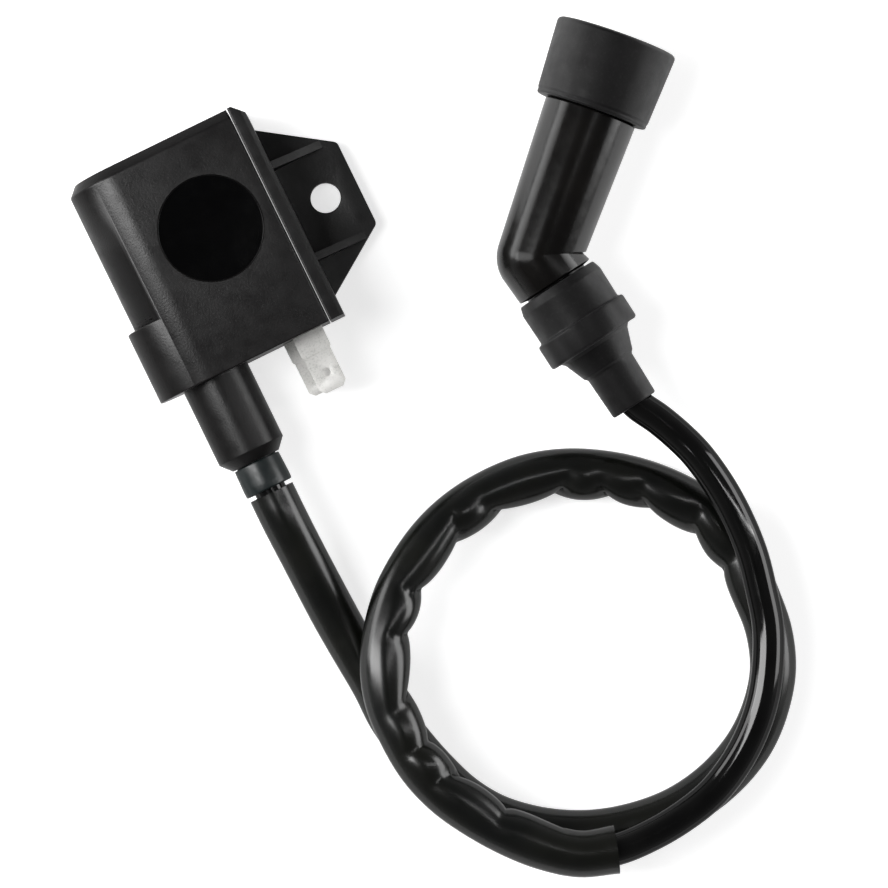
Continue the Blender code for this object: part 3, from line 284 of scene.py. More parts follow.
def combine(thing, others, operation):
    """Join or cut a piece with others, which are used up."""
    for other in others:
        step = thing.modifiers.new(operation, "BOOLEAN")
        step.operation = operation
        step.object = other
        step.solver = "EXACT"
        settle(thing)
        bpy.data.objects.remove(other, do_unlink=True)


def soften_edges(thing, width, segments=3, sharp=35, angle=30):
    """Round a piece's sharp edges."""
    bevel = thing.modifiers.new("edges", "BEVEL")
    bevel.width = width
    bevel.segments = segments
    bevel.limit_method = "ANGLE"
    bevel.angle_limit = math.radians(angle)
    bevel.harden_normals = False
    bevel.use_clamp_overlap = True
    settle(thing, sharp)


def path_frames(points):
    """For each point of a path: the direction, the level side to its left, and the upper side."""
    frames = []
    for i, point in enumerate(points):
        before = points[max(i - 1, 0)]
        after = points[min(i + 1, len(points) - 1)]
        onward = (after - before).normalized()
        left = UP.cross(onward).normalized()
        frames.append((point, onward, left, onward.cross(left)))
    return frames


def path_ring(frame_here, radius_at, sides):
    """Ring round a path point; angle 0 is its left side and a quarter turn is its top."""
    point, _, left, top = frame_here
    ring = []
    for k in range(sides):
        angle = math.tau * k / sides
        spoke = left * math.cos(angle) + top * math.sin(angle)
        ring.append(point + spoke * radius_at(angle))
    return ring


# ---------------------------------------------------------------- material tools


class Look:
    """A node-built material: a Principled surface with helpers for what feeds it."""

    def __init__(self, name, colour, roughness, metallic=0.0):
        self.material = bpy.data.materials.new(name)
        self.material.use_nodes = True
        self.nodes = self.material.node_tree.nodes
        self.links = self.material.node_tree.links
        self.surface = self.nodes["Principled BSDF"]
        self.colour = colour
        self.surface.inputs["Base Color"].default_value = (*colour, 1.0)
        self.surface.inputs["Roughness"].default_value = roughness
        self.surface.inputs["Metallic"].default_value = metallic
        self.place = self.nodes.new("ShaderNodeTexCoord").outputs["Object"]

    def noise(self, size, detail=3.0, stretch=None):
        """Noise whose blotches are about size across."""
        source = self.place
        if stretch:
            mapping = self.nodes.new("ShaderNodeMapping")
            mapping.inputs["Scale"].default_value = stretch
            self.links.new(source, mapping.inputs["Vector"])
            source = mapping.outputs["Vector"]
        texture = self.nodes.new("ShaderNodeTexNoise")
        texture.inputs["Scale"].default_value = 1.0 / size
        texture.inputs["Detail"].default_value = detail
        self.links.new(source, texture.inputs["Vector"])
        return texture.outputs["Fac"]

    def map_range(self, source, low, high, low_to, high_to):
        node = self.nodes.new("ShaderNodeMapRange")
        node.inputs["From Min"].default_value = low
        node.inputs["From Max"].default_value = high
        node.inputs["To Min"].default_value = low_to
        node.inputs["To Max"].default_value = high_to
        self.links.new(source, node.inputs["Value"])
        return node.outputs["Result"]

    def vary_colour(self, source, other, low=0.35, high=0.65):
        """Mix the base colour towards another where the source is high."""
        mix = self.nodes.new("ShaderNodeMix")
        mix.data_type = "RGBA"
        before = self.surface.inputs["Base Color"]
        if before.is_linked:
            self.links.new(before.links[0].from_socket, mix.inputs["A"])
        else:
            mix.inputs["A"].default_value = (*self.colour, 1.0)
        mix.inputs["B"].default_value = (*other, 1.0)
        self.links.new(self.map_range(source, low, high, 0.0, 1.0), mix.inputs["Factor"])
        self.links.new(mix.outputs["Result"], before)
        return self

    def vary_roughness(self, source, low, high):
        self.links.new(self.map_range(source, 0.3, 0.7, low, high), self.surface.inputs["Roughness"])
        return self

    def bump(self, source, depth):
        """Add relief of about depth."""
        node = self.nodes.new("ShaderNodeBump")
        node.inputs["Distance"].default_value = depth
        node.inputs["Strength"].default_value = 1.0
        self.links.new(source, node.inputs["Height"])
        normal = self.surface.inputs["Normal"]
        if normal.is_linked:
            self.links.new(normal.links[0].from_socket, node.inputs["Normal"])
        self.links.new(node.outputs["Normal"], normal)
        return self

    def bands(self, spacing, axis="Y"):
        """Straight bands across an axis, for wound wire and machining marks."""
        texture = self.nodes.new("ShaderNodeTexWave")
        texture.wave_type = "BANDS"
        texture.bands_direction = axis
        texture.inputs["Scale"].default_value = math.pi / 10 / spacing
        self.links.new(self.place, texture.inputs["Vector"])
        return texture.outputs["Fac"]

    def shine(self, middle, edge, start, end):
        """Specular level of faces seen square on, and of faces that turn away from the eye."""
        facing = self.nodes.new("ShaderNodeLayerWeight").outputs["Facing"]
        level = self.map_range(facing, start, end, middle, edge)
        self.links.new(level, self.surface.inputs["Specular IOR Level"])
        return self

    def set(self, **values):
        for name, value in values.items():
            self.surface.inputs[name.replace("_", " ")].default_value = value
        return self


def moulded_plastic(name, colour, light, roughness):
    """Spark-eroded moulding: an even fine grain with a faint dusty mottling.

    The roughness stays above 0.275, because smoother spots come out of Cycles' denoiser as dark specks.
    """
    look = Look(name, colour, roughness)
    look.vary_colour(look.noise(14 * MM, 4.0), light, 0.4, 0.75)
    look.vary_colour(look.noise(0.5 * MM, 2.0), light, 0.55, 0.9)
    look.vary_roughness(look.noise(3 * MM), roughness - 0.045, roughness + 0.055)
    look.bump(look.noise(0.4 * MM, 2.0), 0.03 * MM)
    look.bump(look.noise(6 * MM, 1.0), 0.02 * MM)
    look.shine(0.38, 0.13, 0.07, 0.3)
    return look.material


def body_plastic():
    return moulded_plastic("body_plastic", (0.0042, 0.0038, 0.0039), (0.0075, 0.007, 0.007), 0.33)


def cover_plastic():
    return moulded_plastic("cover_plastic", (0.0042, 0.004, 0.0041), (0.007, 0.0067, 0.0067), 0.35)


def badge_finish():
    """Polished blank disc of the round recess."""
    look = Look("badge_recess", (0.0012, 0.0012, 0.0013), 0.16)
    look.vary_roughness(look.noise(4 * MM), 0.13, 0.2)
    look.bump(look.noise(1.5 * MM, 3.0), 0.001 * MM)
    look.shine(0.1, 0.02, 0.1, 0.4)
    return look.material


def seal_rubber():
    look = Look("seal_rubber", (0.0035, 0.0068, 0.0072), 0.3)
    look.vary_colour(look.noise(5 * MM), (0.0065, 0.011, 0.011))
    look.vary_roughness(look.noise(1.5 * MM), 0.28, 0.42)
    look.shine(0.5, 0.15, 0.2, 0.5)
    look.bump(look.noise(0.4 * MM), 0.008 * MM)
    return look.material


def boot_rubber():
    """Dull moulded rubber with a soft bloom on it."""
    look = Look("boot_rubber", (0.0045, 0.0043, 0.0045), 0.5)
    look.vary_colour(look.noise(9 * MM, 3.0), (0.008, 0.0077, 0.008), 0.3, 0.8)
    look.vary_colour(look.noise(0.6 * MM, 2.0), (0.012, 0.0117, 0.012), 0.55, 0.85)
    look.vary_roughness(look.noise(2.5 * MM), 0.42, 0.58)
    look.bump(look.noise(0.35 * MM, 3.0), 0.02 * MM)
    look.shine(0.15, 0.6, 0.1, 0.45)
    return look.material


def cap_resin():
    """Glossy phenolic moulding with faint flow waves."""
    look = Look("cap_resin", (0.0035, 0.0033, 0.0032), 0.22)
    look.vary_colour(look.noise(12 * MM, 1.0), (0.0065, 0.0058, 0.0052), 0.25, 0.8)
    look.vary_roughness(look.noise(2.0 * MM), 0.19, 0.25)
    look.shine(0.12, 0.75, 0.12, 0.32)
    look.bump(look.noise(3.5 * MM, 2.0), 0.035 * MM)
    look.bump(look.noise(0.5 * MM), 0.003 * MM)
    return look.material


def sleeve_vinyl():
    """Soft glossy vinyl: faintly green-brown, with slow waves."""
    look = Look("sleeve_vinyl", (0.0022, 0.0026, 0.0022), 0.24)
    look.vary_colour(look.noise(16 * MM, 4.0), (0.005, 0.0052, 0.0036), 0.35, 0.7)
    look.vary_roughness(look.noise(5 * MM), 0.2, 0.265)
    look.shine(0.55, 0.15, 0.25, 0.6)
    look.bump(look.noise(4.0 * MM, 1.0), 0.02 * MM)
    look.bump(look.noise(0.3 * MM, 2.0), 0.006 * MM)
    return look.material


def lead_rubber():
    """Smooth extruded jacket, jet black and shiny."""
    look = Look("lead_rubber", (0.0018, 0.0018, 0.0018), 0.09)
    look.vary_colour(look.noise(10 * MM), (0.0032, 0.0032, 0.0031))
    look.vary_roughness(look.noise(4 * MM), 0.07, 0.12)
    look.shine(0.44, 0.06, 0.2, 0.5)
    look.bump(look.noise(2.4 * MM, 1.0), 0.005 * MM)
    return look.material


def tinned_brass():
    """Dull tin plate with a fine speckle."""
    look = Look("tinned_brass", (0.66, 0.655, 0.63), 0.5, metallic=0.25)
    look.vary_colour(look.noise(0.35 * MM, 2.0), (0.5, 0.5, 0.48), 0.5, 0.7)
    look.vary_colour(look.noise(4 * MM), (0.8, 0.79, 0.77), 0.4, 0.8)
    look.vary_roughness(look.noise(0.6 * MM), 0.42, 0.6)
    look.bump(look.noise(0.3 * MM), 0.01 * MM)
    return look.material


def turned_brass():
    look = Look("turned_brass", (0.65, 0.44, 0.17), 0.3, metallic=1.0)
    look.vary_colour(look.noise(2 * MM), (0.5, 0.33, 0.13))
    look.bump(look.bands(0.12 * MM, "DIAGONAL"), 0.004 * MM)
    return look.material


def enamelled_copper():
    look = Look("enamelled_copper", (0.5, 0.17, 0.06), 0.28, metallic=0.9)
    look.vary_colour(look.noise(1.5 * MM), (0.36, 0.11, 0.04))
    look.bump(look.bands(0.16 * MM), 0.02 * MM)
    return look.material


def electrical_steel():
    look = Look("electrical_steel", (0.3, 0.31, 0.33), 0.38, metallic=1.0)
    look.vary_colour(look.noise(1.2 * MM), (0.2, 0.2, 0.22))
    look.bump(look.noise(0.5 * MM, 2.0, stretch=(1.0, 6.0, 1.0)), 0.006 * MM)
    return look.material


def spring_steel():
    look = Look("spring_steel", (0.55, 0.55, 0.57), 0.25, metallic=1.0)
    look.vary_roughness(look.noise(0.5 * MM), 0.18, 0.34)
    return look.material


def bobbin_nylon():
    look = Look("bobbin_nylon", (0.55, 0.52, 0.44), 0.45)
    look.vary_colour(look.noise(5 * MM), (0.48, 0.45, 0.37))
    look.bump(look.noise(0.5 * MM), 0.008 * MM)
    look.set(Subsurface_Weight=0.1, Subsurface_Scale=0.5 * MM)
    return look.material


def potting_epoxy():
    look = Look("potting_epoxy", (0.012, 0.01, 0.009), 0.18)
    look.vary_colour(look.noise(4 * MM), (0.03, 0.022, 0.018))
    look.bump(look.noise(5 * MM, 2.0), 0.08 * MM)
    return look.material


def resistor_ceramic():
    look = Look("resistor_ceramic", (0.7, 0.67, 0.6), 0.6)
    look.vary_colour(look.noise(0.8 * MM), (0.6, 0.57, 0.5))
    look.bump(look.noise(0.3 * MM), 0.01 * MM)
    return look.material


BODY_PLASTIC = body_plastic()
COVER_PLASTIC = cover_plastic()
BADGE_FINISH = badge_finish()
SEAL_RUBBER = seal_rubber()
BOOT_RUBBER = boot_rubber()
CAP_RESIN = cap_resin()
SLEEVE_VINYL = sleeve_vinyl()
LEAD_RUBBER = lead_rubber()
TINNED_BRASS = tinned_brass()
TURNED_BRASS = turned_brass()

# Look of each material slot in the record
SLOT_LOOKS = {
    "copper": enamelled_copper(),
    "brass": TURNED_BRASS,
    "tinned_brass": TINNED_BRASS,
    "core_steel": electrical_steel(),
    "spring_steel": spring_steel(),
    "bobbin_nylon": bobbin_nylon(),
    "potting_epoxy": potting_epoxy(),
    "resistor_ceramic": resistor_ceramic(),
    "body_plastic": BODY_PLASTIC,
    "cover_plastic": COVER_PLASTIC,
    "seal_rubber": SEAL_RUBBER,
    "boot_rubber": BOOT_RUBBER,
    "cap_resin": CAP_RESIN,
    "sleeve_vinyl": SLEEVE_VINYL,
    "lead_rubber": LEAD_RUBBER,
}


def dress_cad_nodes():
    """Give every CAD node the look of its material slot."""
    for subpart in frame["record"]["subparts"]:
        node = frame["nodes"][subpart["node"]]
        node.data.materials.clear()
        node.data.materials.append(SLOT_LOOKS[subpart["material_slot"]])
        shade(node, 35)


def stand_in(thing, body, slot, *nodes):
    """A new piece rides on a body in place of CAD nodes."""
    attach(thing, body)
    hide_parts(*nodes)


def bend_over(thing, near_body, far_body, start, end, slot, *nodes):
    """A new piece, with its placing baked into its mesh, in place of CAD nodes; the two bodies, start and end are
    not used.
    """
    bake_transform(thing)
    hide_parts(*nodes)


# ---------------------------------------------------------------- coil body

case_low, case_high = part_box("case")
cover_low, cover_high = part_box("mount_cover")
seal_reach = along("tower_seal", BARREL, DOWN_TOWER)
blade_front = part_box("primary_terminal")
blade_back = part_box("ground_terminal")

EAR_REACH = 7.6 * MM
BOLT_AXIS = Vector((cover_high.x - EAR_REACH, 0.0, 0.0))
# How far cutters run past a surface, and joined pieces run into one
CUT_PAST = 1.0 * MM

# Case; its visible top is a little lower than its CAD solid's
BARREL_RADIUS = case_high.z / 2
BODY_TOP = case_high.y - 0.8 * MM
BODY_BOTTOM = cover_low.y
MOUTH_X = case_high.x
WALL = 2.0 * MM
CHAMFER = 2.1 * MM
EDGE = 0.3 * MM
TOWER_END = -case_low.y
TOWER_SHOULDER = TOWER_END - 2.4 * MM
TOWER_RADIUS = 7.65 * MM
TOWER_TIP_RADIUS = 5.5 * MM
PAD_RADIUS = 10.5 * MM
PAD_LENGTH = 16.5 * MM
BADGE_CENTRE = Vector((MOUTH_X - 14.0 * MM, 4.0 * MM, case_high.z))
BADGE_RADIUS = 11.3 * MM
BADGE_DEPTH = 0.45 * MM
CABLE_BORE = 3.8 * MM

# Cover with its ear and gussets
COVER_INNER_X = MOUTH_X + 0.3 * MM
COVER_OUTER_X = BOLT_AXIS.x - 7.4 * MM
COVER_SLOPE = 0.9 * MM
COVER_CORNER = 2.4 * MM
FACET_WIDTH = 0.42 * MM
FACET_ANGLE = 24
EAR_THICKNESS = 3.8 * MM
EAR_ROOT_HALF = 20.0 * MM
EAR_TIP_HALF = 9.8 * MM
EAR_CORNER = 1.4 * MM
BOLT_HOLE_RADIUS = 3.3 * MM
GUSSET_SPREAD = 11.0 * MM
GUSSET_WIDTH = 1.7 * MM
GUSSET_RISE = 14.0 * MM
GUSSET_FOOT = 4.3 * MM

# Spade blades
TAB_HALF = 3.15 * MM
TAB_THICKNESS = 0.8 * MM
TAB_ROOT_THICKNESS = 1.0 * MM
TAB_TIP_BEVEL = 1.1 * MM
TAB_SHOULDER_Y = -30.0 * MM
TAB_HOLE_Y = -34.5 * MM
TAB_HOLE_RADIUS = 0.95 * MM


def body_ring(y, inset, edge):
    """Section of the case at a height: half round at the barrel, flat on both faces."""
    radius = BARREL_RADIUS - inset
    high, low = BARREL_RADIUS * 2 - inset, inset
    corner_high = rounded([(0, high), (MOUTH_X, high), (MOUTH_X, low)], edge, closed=False, steps=4)
    corner_low = rounded([(MOUTH_X, high), (MOUTH_X, low), (0, low)], edge, closed=False, steps=4)
    outline = [tuple(p) for p in corner_high[1:-1] + corner_low[1:-1]]
    steps = 64
    for i in range(steps + 1):
        angle = -math.pi / 2 - math.pi * i / steps
        outline.append((BARREL.x + radius * math.cos(angle), BARREL.z + radius * math.sin(angle)))
    return [Vector((x, y, z)) for x, z in outline]


def badge_cutter():
    """Shallow dish with a rounded rim."""
    rim = 2 * MM
    profile = rounded(
        [(rim, 0.0), (rim, BADGE_RADIUS + 0.35 * MM), (0.0, BADGE_RADIUS + 0.3 * MM),
         (-BADGE_DEPTH, BADGE_RADIUS), (-BADGE_DEPTH, 0.0)],
        0.15 * MM, closed=False,
    )
    return lathe("badge_cutter", profile, BADGE_CENTRE, UP, steps=128)


def root_pad():
    """Stout rod behind the tower, along the barrel's lower part."""
    foot = Vector((case_low.x + PAD_RADIUS, BODY_BOTTOM + 0.02 * MM, BARREL.z))
    profile = rounded(
        [(0.0, 0.0), (0.0, PAD_RADIUS), (PAD_LENGTH, PAD_RADIUS), (PAD_LENGTH, 0.0)],
        [0, EDGE, 0.4 * MM, 0], closed=False,
    )
    return lathe("pad", profile, foot, -DOWN_TOWER)


def tower():
    root = -BODY_BOTTOM - CUT_PAST
    profile = rounded(
        [(root, 0.0), (root, TOWER_RADIUS), (TOWER_SHOULDER, TOWER_RADIUS),
         (TOWER_END, TOWER_TIP_RADIUS), (TOWER_END, 0.0)],
        [0, 0, 0.35 * MM, 0.25 * MM, 0], closed=False,
    )
    return lathe("tower", profile, BARREL, DOWN_TOWER)


def case_cavity():
    """Room for the coil and core, open at the cover's side."""
    rings = []
    for y in (BODY_BOTTOM + WALL, BODY_TOP - WALL):
        ring = []
        for point in body_ring(y, WALL, 0.2 * MM):
            at_mouth = point.x > MOUTH_X - 1 * MM
            ring.append(point + Vector((2 * MM * at_mouth, 0, 0)))
        rings.append(ring)
    return loft("cavity", rings)


def tower_bore():
    """Contact pin's hole, the lead's bore, and the collar's wider seat at the end."""
    wall_inside = -BODY_BOTTOM - WALL - CUT_PAST
    pin_end = -BODY_BOTTOM + 1 * MM
    seat_start, past_end = TOWER_END - 6.5 * MM, TOWER_END + CUT_PAST
    pin_hole, seat = 1.5 * MM, 4.95 * MM
    profile = [
        (wall_inside, 0.0), (wall_inside, pin_hole), (pin_end, pin_hole), (pin_end, CABLE_BORE),
        (seat_start, CABLE_BORE), (seat_start, seat), (past_end, seat), (past_end, 0.0),
    ]
    return lathe("bore", profile, BARREL, DOWN_TOWER, steps=64)


def blade_slots():
    slots = []
    gap = Vector((0.3 * MM, 0.0, 0.3 * MM))
    for low, high in (blade_front, blade_back):
        low = Vector((low.x, BODY_BOTTOM - CUT_PAST, low.z)) - gap
        high = Vector((high.x, BODY_BOTTOM + WALL + CUT_PAST, high.z)) + gap
        slots.append(block("slot", low, high))
    return slots


def finish_badge(case):
    """Give the floor of the round recess its own finish."""
    for face in case.data.polygons:
        away = Vector(face.center) - BADGE_CENTRE
        on_floor = -2 * BADGE_DEPTH < away.z < -BADGE_DEPTH * 0.6
        if on_floor and away.xy.length < BADGE_RADIUS and face.normal.z > 0.5:
            face.material_index = 1


def make_case():
    """Case: barrel and box in one hollow shell, with the pad and the lead tower."""
    levels = rounded(
        [(BODY_BOTTOM, 4 * MM), (BODY_BOTTOM, 0.0), (BODY_TOP - CHAMFER, 0.0),
         (BODY_TOP, CHAMFER), (BODY_TOP, 5 * MM)],
        [0, EDGE, 0.8 * MM, 0.5 * MM, 0], closed=False, steps=4,
    )
    rings = [body_ring(y, inset, EDGE) for y, inset in levels]
    case = loft("coil_case", rings, BODY_PLASTIC, BADGE_FINISH, sharp=25)
    combine(case, [root_pad(), tower()], "UNION")
    combine(case, [case_cavity(), tower_bore(), badge_cutter(), *blade_slots()], "DIFFERENCE")
    finish_badge(case)
    shade(case, 25)
    stand_in(case, "coil", "body_plastic", "case")


def cover_plate():
    """Plate that closes the case, its front edge sloping and its upper outer corner cut off."""
    thick, over = case_high.z, CUT_PAST
    section = [
        (COVER_INNER_X, 0.0), (COVER_OUTER_X, 0.0), (COVER_OUTER_X, thick - COVER_SLOPE * 1.6),
        (COVER_OUTER_X - COVER_SLOPE, thick), (COVER_INNER_X, thick),
    ]
    reach = Vector((0.0, BODY_TOP - BODY_BOTTOM, 0.0))
    plate = prism("side_cover", section, lambda u, v: Vector((u, BODY_BOTTOM, v)), reach, COVER_PLASTIC)
    triangle = [
        (COVER_OUTER_X - COVER_CORNER, BODY_TOP), (COVER_OUTER_X + over, BODY_TOP - COVER_CORNER - over),
        (COVER_OUTER_X + over, BODY_TOP + over), (COVER_OUTER_X - COVER_CORNER - over, BODY_TOP + over),
    ]
    deep = Vector((0.0, 0.0, thick + 2 * over))
    combine(plate, [prism("corner", triangle, lambda u, v: Vector((u, v, -over)), deep)], "DIFFERENCE")
    return plate


def ear():
    """Mounting ear: narrower at its tip, where both corners are rounded."""
    root, tip = COVER_OUTER_X - CUT_PAST, cover_high.x
    taper = (EAR_ROOT_HALF - EAR_TIP_HALF) / (tip - COVER_OUTER_X)
    root_half = EAR_ROOT_HALF + taper * CUT_PAST
    corners = [(root, -root_half), (tip, -EAR_TIP_HALF), (tip, EAR_TIP_HALF), (root, root_half)]
    outline = rounded(corners, [0, EAR_CORNER, EAR_CORNER, 0], steps=10)
    return prism("ear", outline, lambda u, v: Vector((u, v, 0.0)), Vector((0, 0, EAR_THICKNESS)))


def gusset(side):
    """Sloping rib from the plate down to the ear, on one side of the bolt hole."""
    root, foot = COVER_OUTER_X - CUT_PAST, BOLT_AXIS.x + GUSSET_FOOT
    inside_ear = 1 * MM
    rise = [(root, inside_ear), (foot + 0.3 * MM, inside_ear), (foot, EAR_THICKNESS), (root, GUSSET_RISE)]
    start = side * GUSSET_SPREAD - GUSSET_WIDTH / 2
    return prism("gusset", rise, lambda u, v: Vector((u, start, v)), Vector((0, GUSSET_WIDTH, 0)))


def bolt_hole():
    low, high = -CUT_PAST, EAR_THICKNESS + CUT_PAST
    profile = [(low, 0.0), (low, BOLT_HOLE_RADIUS), (high, BOLT_HOLE_RADIUS), (high, 0.0)]
    return lathe("hole", profile, BOLT_AXIS, UP, steps=72)


def parting_facet():
    """Cutter for the narrow bright facet where the cover meets the case."""
    thick, over = case_high.z, CUT_PAST
    tilt = math.tan(math.radians(FACET_ANGLE))
    section = [
        (COVER_INNER_X + FACET_WIDTH + over, thick + over * tilt),
        (COVER_INNER_X - over, thick - (FACET_WIDTH + over) * tilt),
        (COVER_INNER_X - over, thick + over * tilt),
    ]
    start = BODY_BOTTOM - over
    reach = Vector((0.0, BODY_TOP - BODY_BOTTOM + 2 * over, 0.0))
    return prism("facet", section, lambda u, v: Vector((u, start, v)), reach)


def make_cover():
    """Side cover: plate, ear and two gussets in one moulding."""
    cover = cover_plate()
    combine(cover, [ear(), gusset(-1), gusset(1)], "UNION")
    combine(cover, [bolt_hole()], "DIFFERENCE")
    soften_edges(cover, 0.28 * MM, segments=5)
    combine(cover, [parting_facet()], "DIFFERENCE")
    shade(cover, 20)
    stand_in(cover, "coil", "cover_plastic", "mount_cover")


def make_tower_seal():
    """Rubber collar in the tower's mouth, a little narrower at its far end."""
    near, far, _ = seal_reach
    outer, seat = 5.42 * MM, 4.6 * MM
    step = TOWER_END + 0.25 * MM
    profile = rounded(
        [(far, outer - 0.05 * MM), (far - 1.6 * MM, outer), (step, outer - 0.15 * MM), (step, seat),
         (near, seat), (near, CABLE_BORE), (far, CABLE_BORE)],
        [0.4 * MM, 2 * MM, 0.2 * MM, 0.1 * MM, 0.1 * MM, 0.1 * MM, 0.35 * MM],
    )
    seal = lathe("tower_seal_ring", profile, BARREL, DOWN_TOWER, SEAL_RUBBER, steps=72)
    stand_in(seal, "coil", "seal_rubber", "tower_seal")


def make_terminal(name, node, low, high):
    """Spade blade: thin tab with a punched hole and a bevelled tip, on a wider root."""
    middle = (low + high) / 2
    half_root = (high.x - low.x) / 2
    tip, shoulder, inner = low.y, TAB_SHOULDER_Y, high.y
    root = rounded(
        [(-half_root, inner), (-half_root, shoulder), (half_root, shoulder), (half_root, inner)],
        [0.3 * MM, 0.8 * MM, 0.8 * MM, 0.3 * MM],
    )
    tab = rounded(
        [(-TAB_HALF, shoulder + 1 * MM), (-TAB_HALF, tip + TAB_TIP_BEVEL), (-TAB_HALF + TAB_TIP_BEVEL, tip),
         (TAB_HALF - TAB_TIP_BEVEL, tip), (TAB_HALF, tip + TAB_TIP_BEVEL), (TAB_HALF, shoulder + 1 * MM)],
        0.3 * MM,
    )

    def sheet(part, outline, thickness, *materials):
        base = middle.z - thickness / 2
        depth = Vector((0.0, 0.0, thickness))
        return prism(part, outline, lambda u, v: Vector((middle.x + u, v, base)), depth, *materials)

    blade = sheet(name, root, TAB_ROOT_THICKNESS, TINNED_BRASS)
    combine(blade, [sheet("tab", tab, TAB_THICKNESS)], "UNION")
    half = 1 * MM
    hole = [(-half, 0.0), (-half, TAB_HOLE_RADIUS), (half, TAB_HOLE_RADIUS), (half, 0.0)]
    centre = Vector((middle.x, TAB_HOLE_Y, middle.z))
    combine(blade, [lathe("hole", hole, centre, UP, steps=40)], "DIFFERENCE")
    soften_edges(blade, 0.12 * MM, segments=2, sharp=25)
    stand_in(blade, "coil", "tinned_brass", node)


# ---------------------------------------------------------------- lead and sleeve

LEAD_RADIUS = 3.5 * MM
SLEEVE_RADIUS = 5.05 * MM
SLEEVE_BORE = 4.0 * MM
LEAD_SIDES = 36
SLEEVE_SIDES = 56
# How far the sleeve starts above the lead's first station
SLEEVE_START = 0.3 * MM
# The sleeve buckles once the lead has turned this many degrees
BUCKLES_AFTER = 172
# The lead's way into the cap: places out along the cable arm and beside it
CAP_APPROACH = [(49.4, 4.5), (43.5, 2.7), (37.8, 0.45), (32.0, 0.0), (25.0, 0.0), (17.0, 0.0)]
RANDOM = random.Random(41)

centre_line = lead_centre_line()


def sleeve_end_station():
    """Number of the last lead station that the CAD sleeve goes round."""
    rim = [v.co for v in frame["nodes"]["sleeve"].data.vertices]
    covered = 1
    for number, (centre, onward, _, _) in enumerate(path_frames(centre_line)[1:-1], 1):
        near = [co - centre for co in rim if (co - centre).length < SLEEVE_RADIUS * 1.1]
        across = [arm for arm in near if abs(arm.dot(onward)) < 1.2 * MM and arm.length > SLEEVE_BORE]
        if len(across) < 8:
            break
        covered = number
    return covered


def bend_turns(points):
    """How far the path has turned, in degrees, at each of its points."""
    total, turned = 0.0, [0.0]
    for a, b, c in zip(points, points[1:], points[2:]):
        one, other = (b - a).xy, (c - b).xy
        total += math.degrees(one.angle_signed(other)) * -1
        turned.append(total)
    return turned + [total]


def crease_places(start, end):
    """Where the sleeve buckles: each crease's place, slant, depth, and the height of the roll after it."""
    creases, s = [], start
    while s < end:
        slant = RANDOM.uniform(-3.5, 5.5) * MM
        creases.append((s, slant, RANDOM.uniform(0.9, 1.35) * MM, RANDOM.uniform(0.7, 1.3) * MM))
        s += RANDOM.uniform(9.5, 15.0) * MM
    return creases


def buckle(s, angle, creases):
    """Relief of the buckled sleeve: proud rolls between sharp, slanting creases."""
    lines = [place + slant * math.sin(angle) for place, slant, _, _ in creases]
    if s <= lines[0] or s >= lines[-1]:
        return 0.0
    number = max(i for i, line in enumerate(lines) if line <= s)
    before, after = lines[number], lines[number + 1]
    share = (s - before) / (after - before)
    depth = creases[number][2] * (1 - share) + creases[number + 1][2] * share
    height = creases[number][3]
    return (depth + height) * math.sin(math.pi * share) ** 0.55 - depth


def buckle_fade(s, start, length):
    """Buckling comes in over the first stretch and dies away towards the sleeve's end."""
    coming = min(1.0, max(0.0, (s - start) / (18 * MM)))
    return coming * min(1.0, max(0.0, (length - 5 * MM - s) / (34 * MM)))


def make_sleeve():
    """Loose vinyl sleeve: smooth on the outside of the bend, buckled on its inside."""
    start = centre_line[0] - DOWN_TOWER * SLEEVE_START
    last = sleeve_end_station()
    path = smooth_path([start] + centre_line[1:last + 1], 10)
    stations = walk(path, 1.0 * MM)
    points = [point for point, _ in stations]
    length = stations[-1][1]
    buckled_from = next(s for (_, s), turn in zip(stations, bend_turns(points)) if turn > BUCKLES_AFTER)
    creases = crease_places(buckled_from, length - 6 * MM)
    outer, inner = [], []
    for (_, s), here in zip(stations, path_frames(points)):
        fade = buckle_fade(s, buckled_from, length)
        end = max(0.0, 1 - (length - s) / (9 * MM))
        flare = 0.42 * MM * end * end
        wave = 0.05 * MM * math.sin(s / (11 * MM)) + 0.04 * MM * math.sin(s / (4.7 * MM) + 1.3)

        def radius_at(angle, s=s, fade=fade, flare=flare, wave=wave):
            inward = math.cos(angle)
            weight = max(0.0, inward * 0.64 + 0.36 + 0.1 * math.sin(angle * 2 + s / (9 * MM))) ** 1.5
            relief = buckle(s, angle, creases) * min(weight, 1.0) * fade
            return SLEEVE_RADIUS + relief + flare * (0.6 - 0.4 * math.sin(angle)) + wave

        def bore_at(angle, radius_at=radius_at):
            return max(LEAD_RADIUS + 0.12 * MM, radius_at(angle) - (SLEEVE_RADIUS - SLEEVE_BORE))

        outer.append(path_ring(here, radius_at, SLEEVE_SIDES))
        inner.append(path_ring(here, bore_at, SLEEVE_SIDES))
    rings = outer + inner[::-1]
    sleeve = loft("lead_sleeve", rings, SLEEVE_VINYL, closed=True, sharp=50)
    end = TOWER_PIVOT + DOWN_TOWER * 5 * MM
    bend_over(sleeve, "coil", "lead", TOWER_PIVOT, end, "sleeve_vinyl", "sleeve")
    return last


def lead_rod(name, path, spacing):
    """Round length of lead along a path, with flat ends."""
    points = [point for point, _ in walk(path, spacing)]
    rings = [path_ring(here, lambda angle: LEAD_RADIUS, LEAD_SIDES) for here in path_frames(points)]
    return loft(name, rings, LEAD_RUBBER, sharp=50)


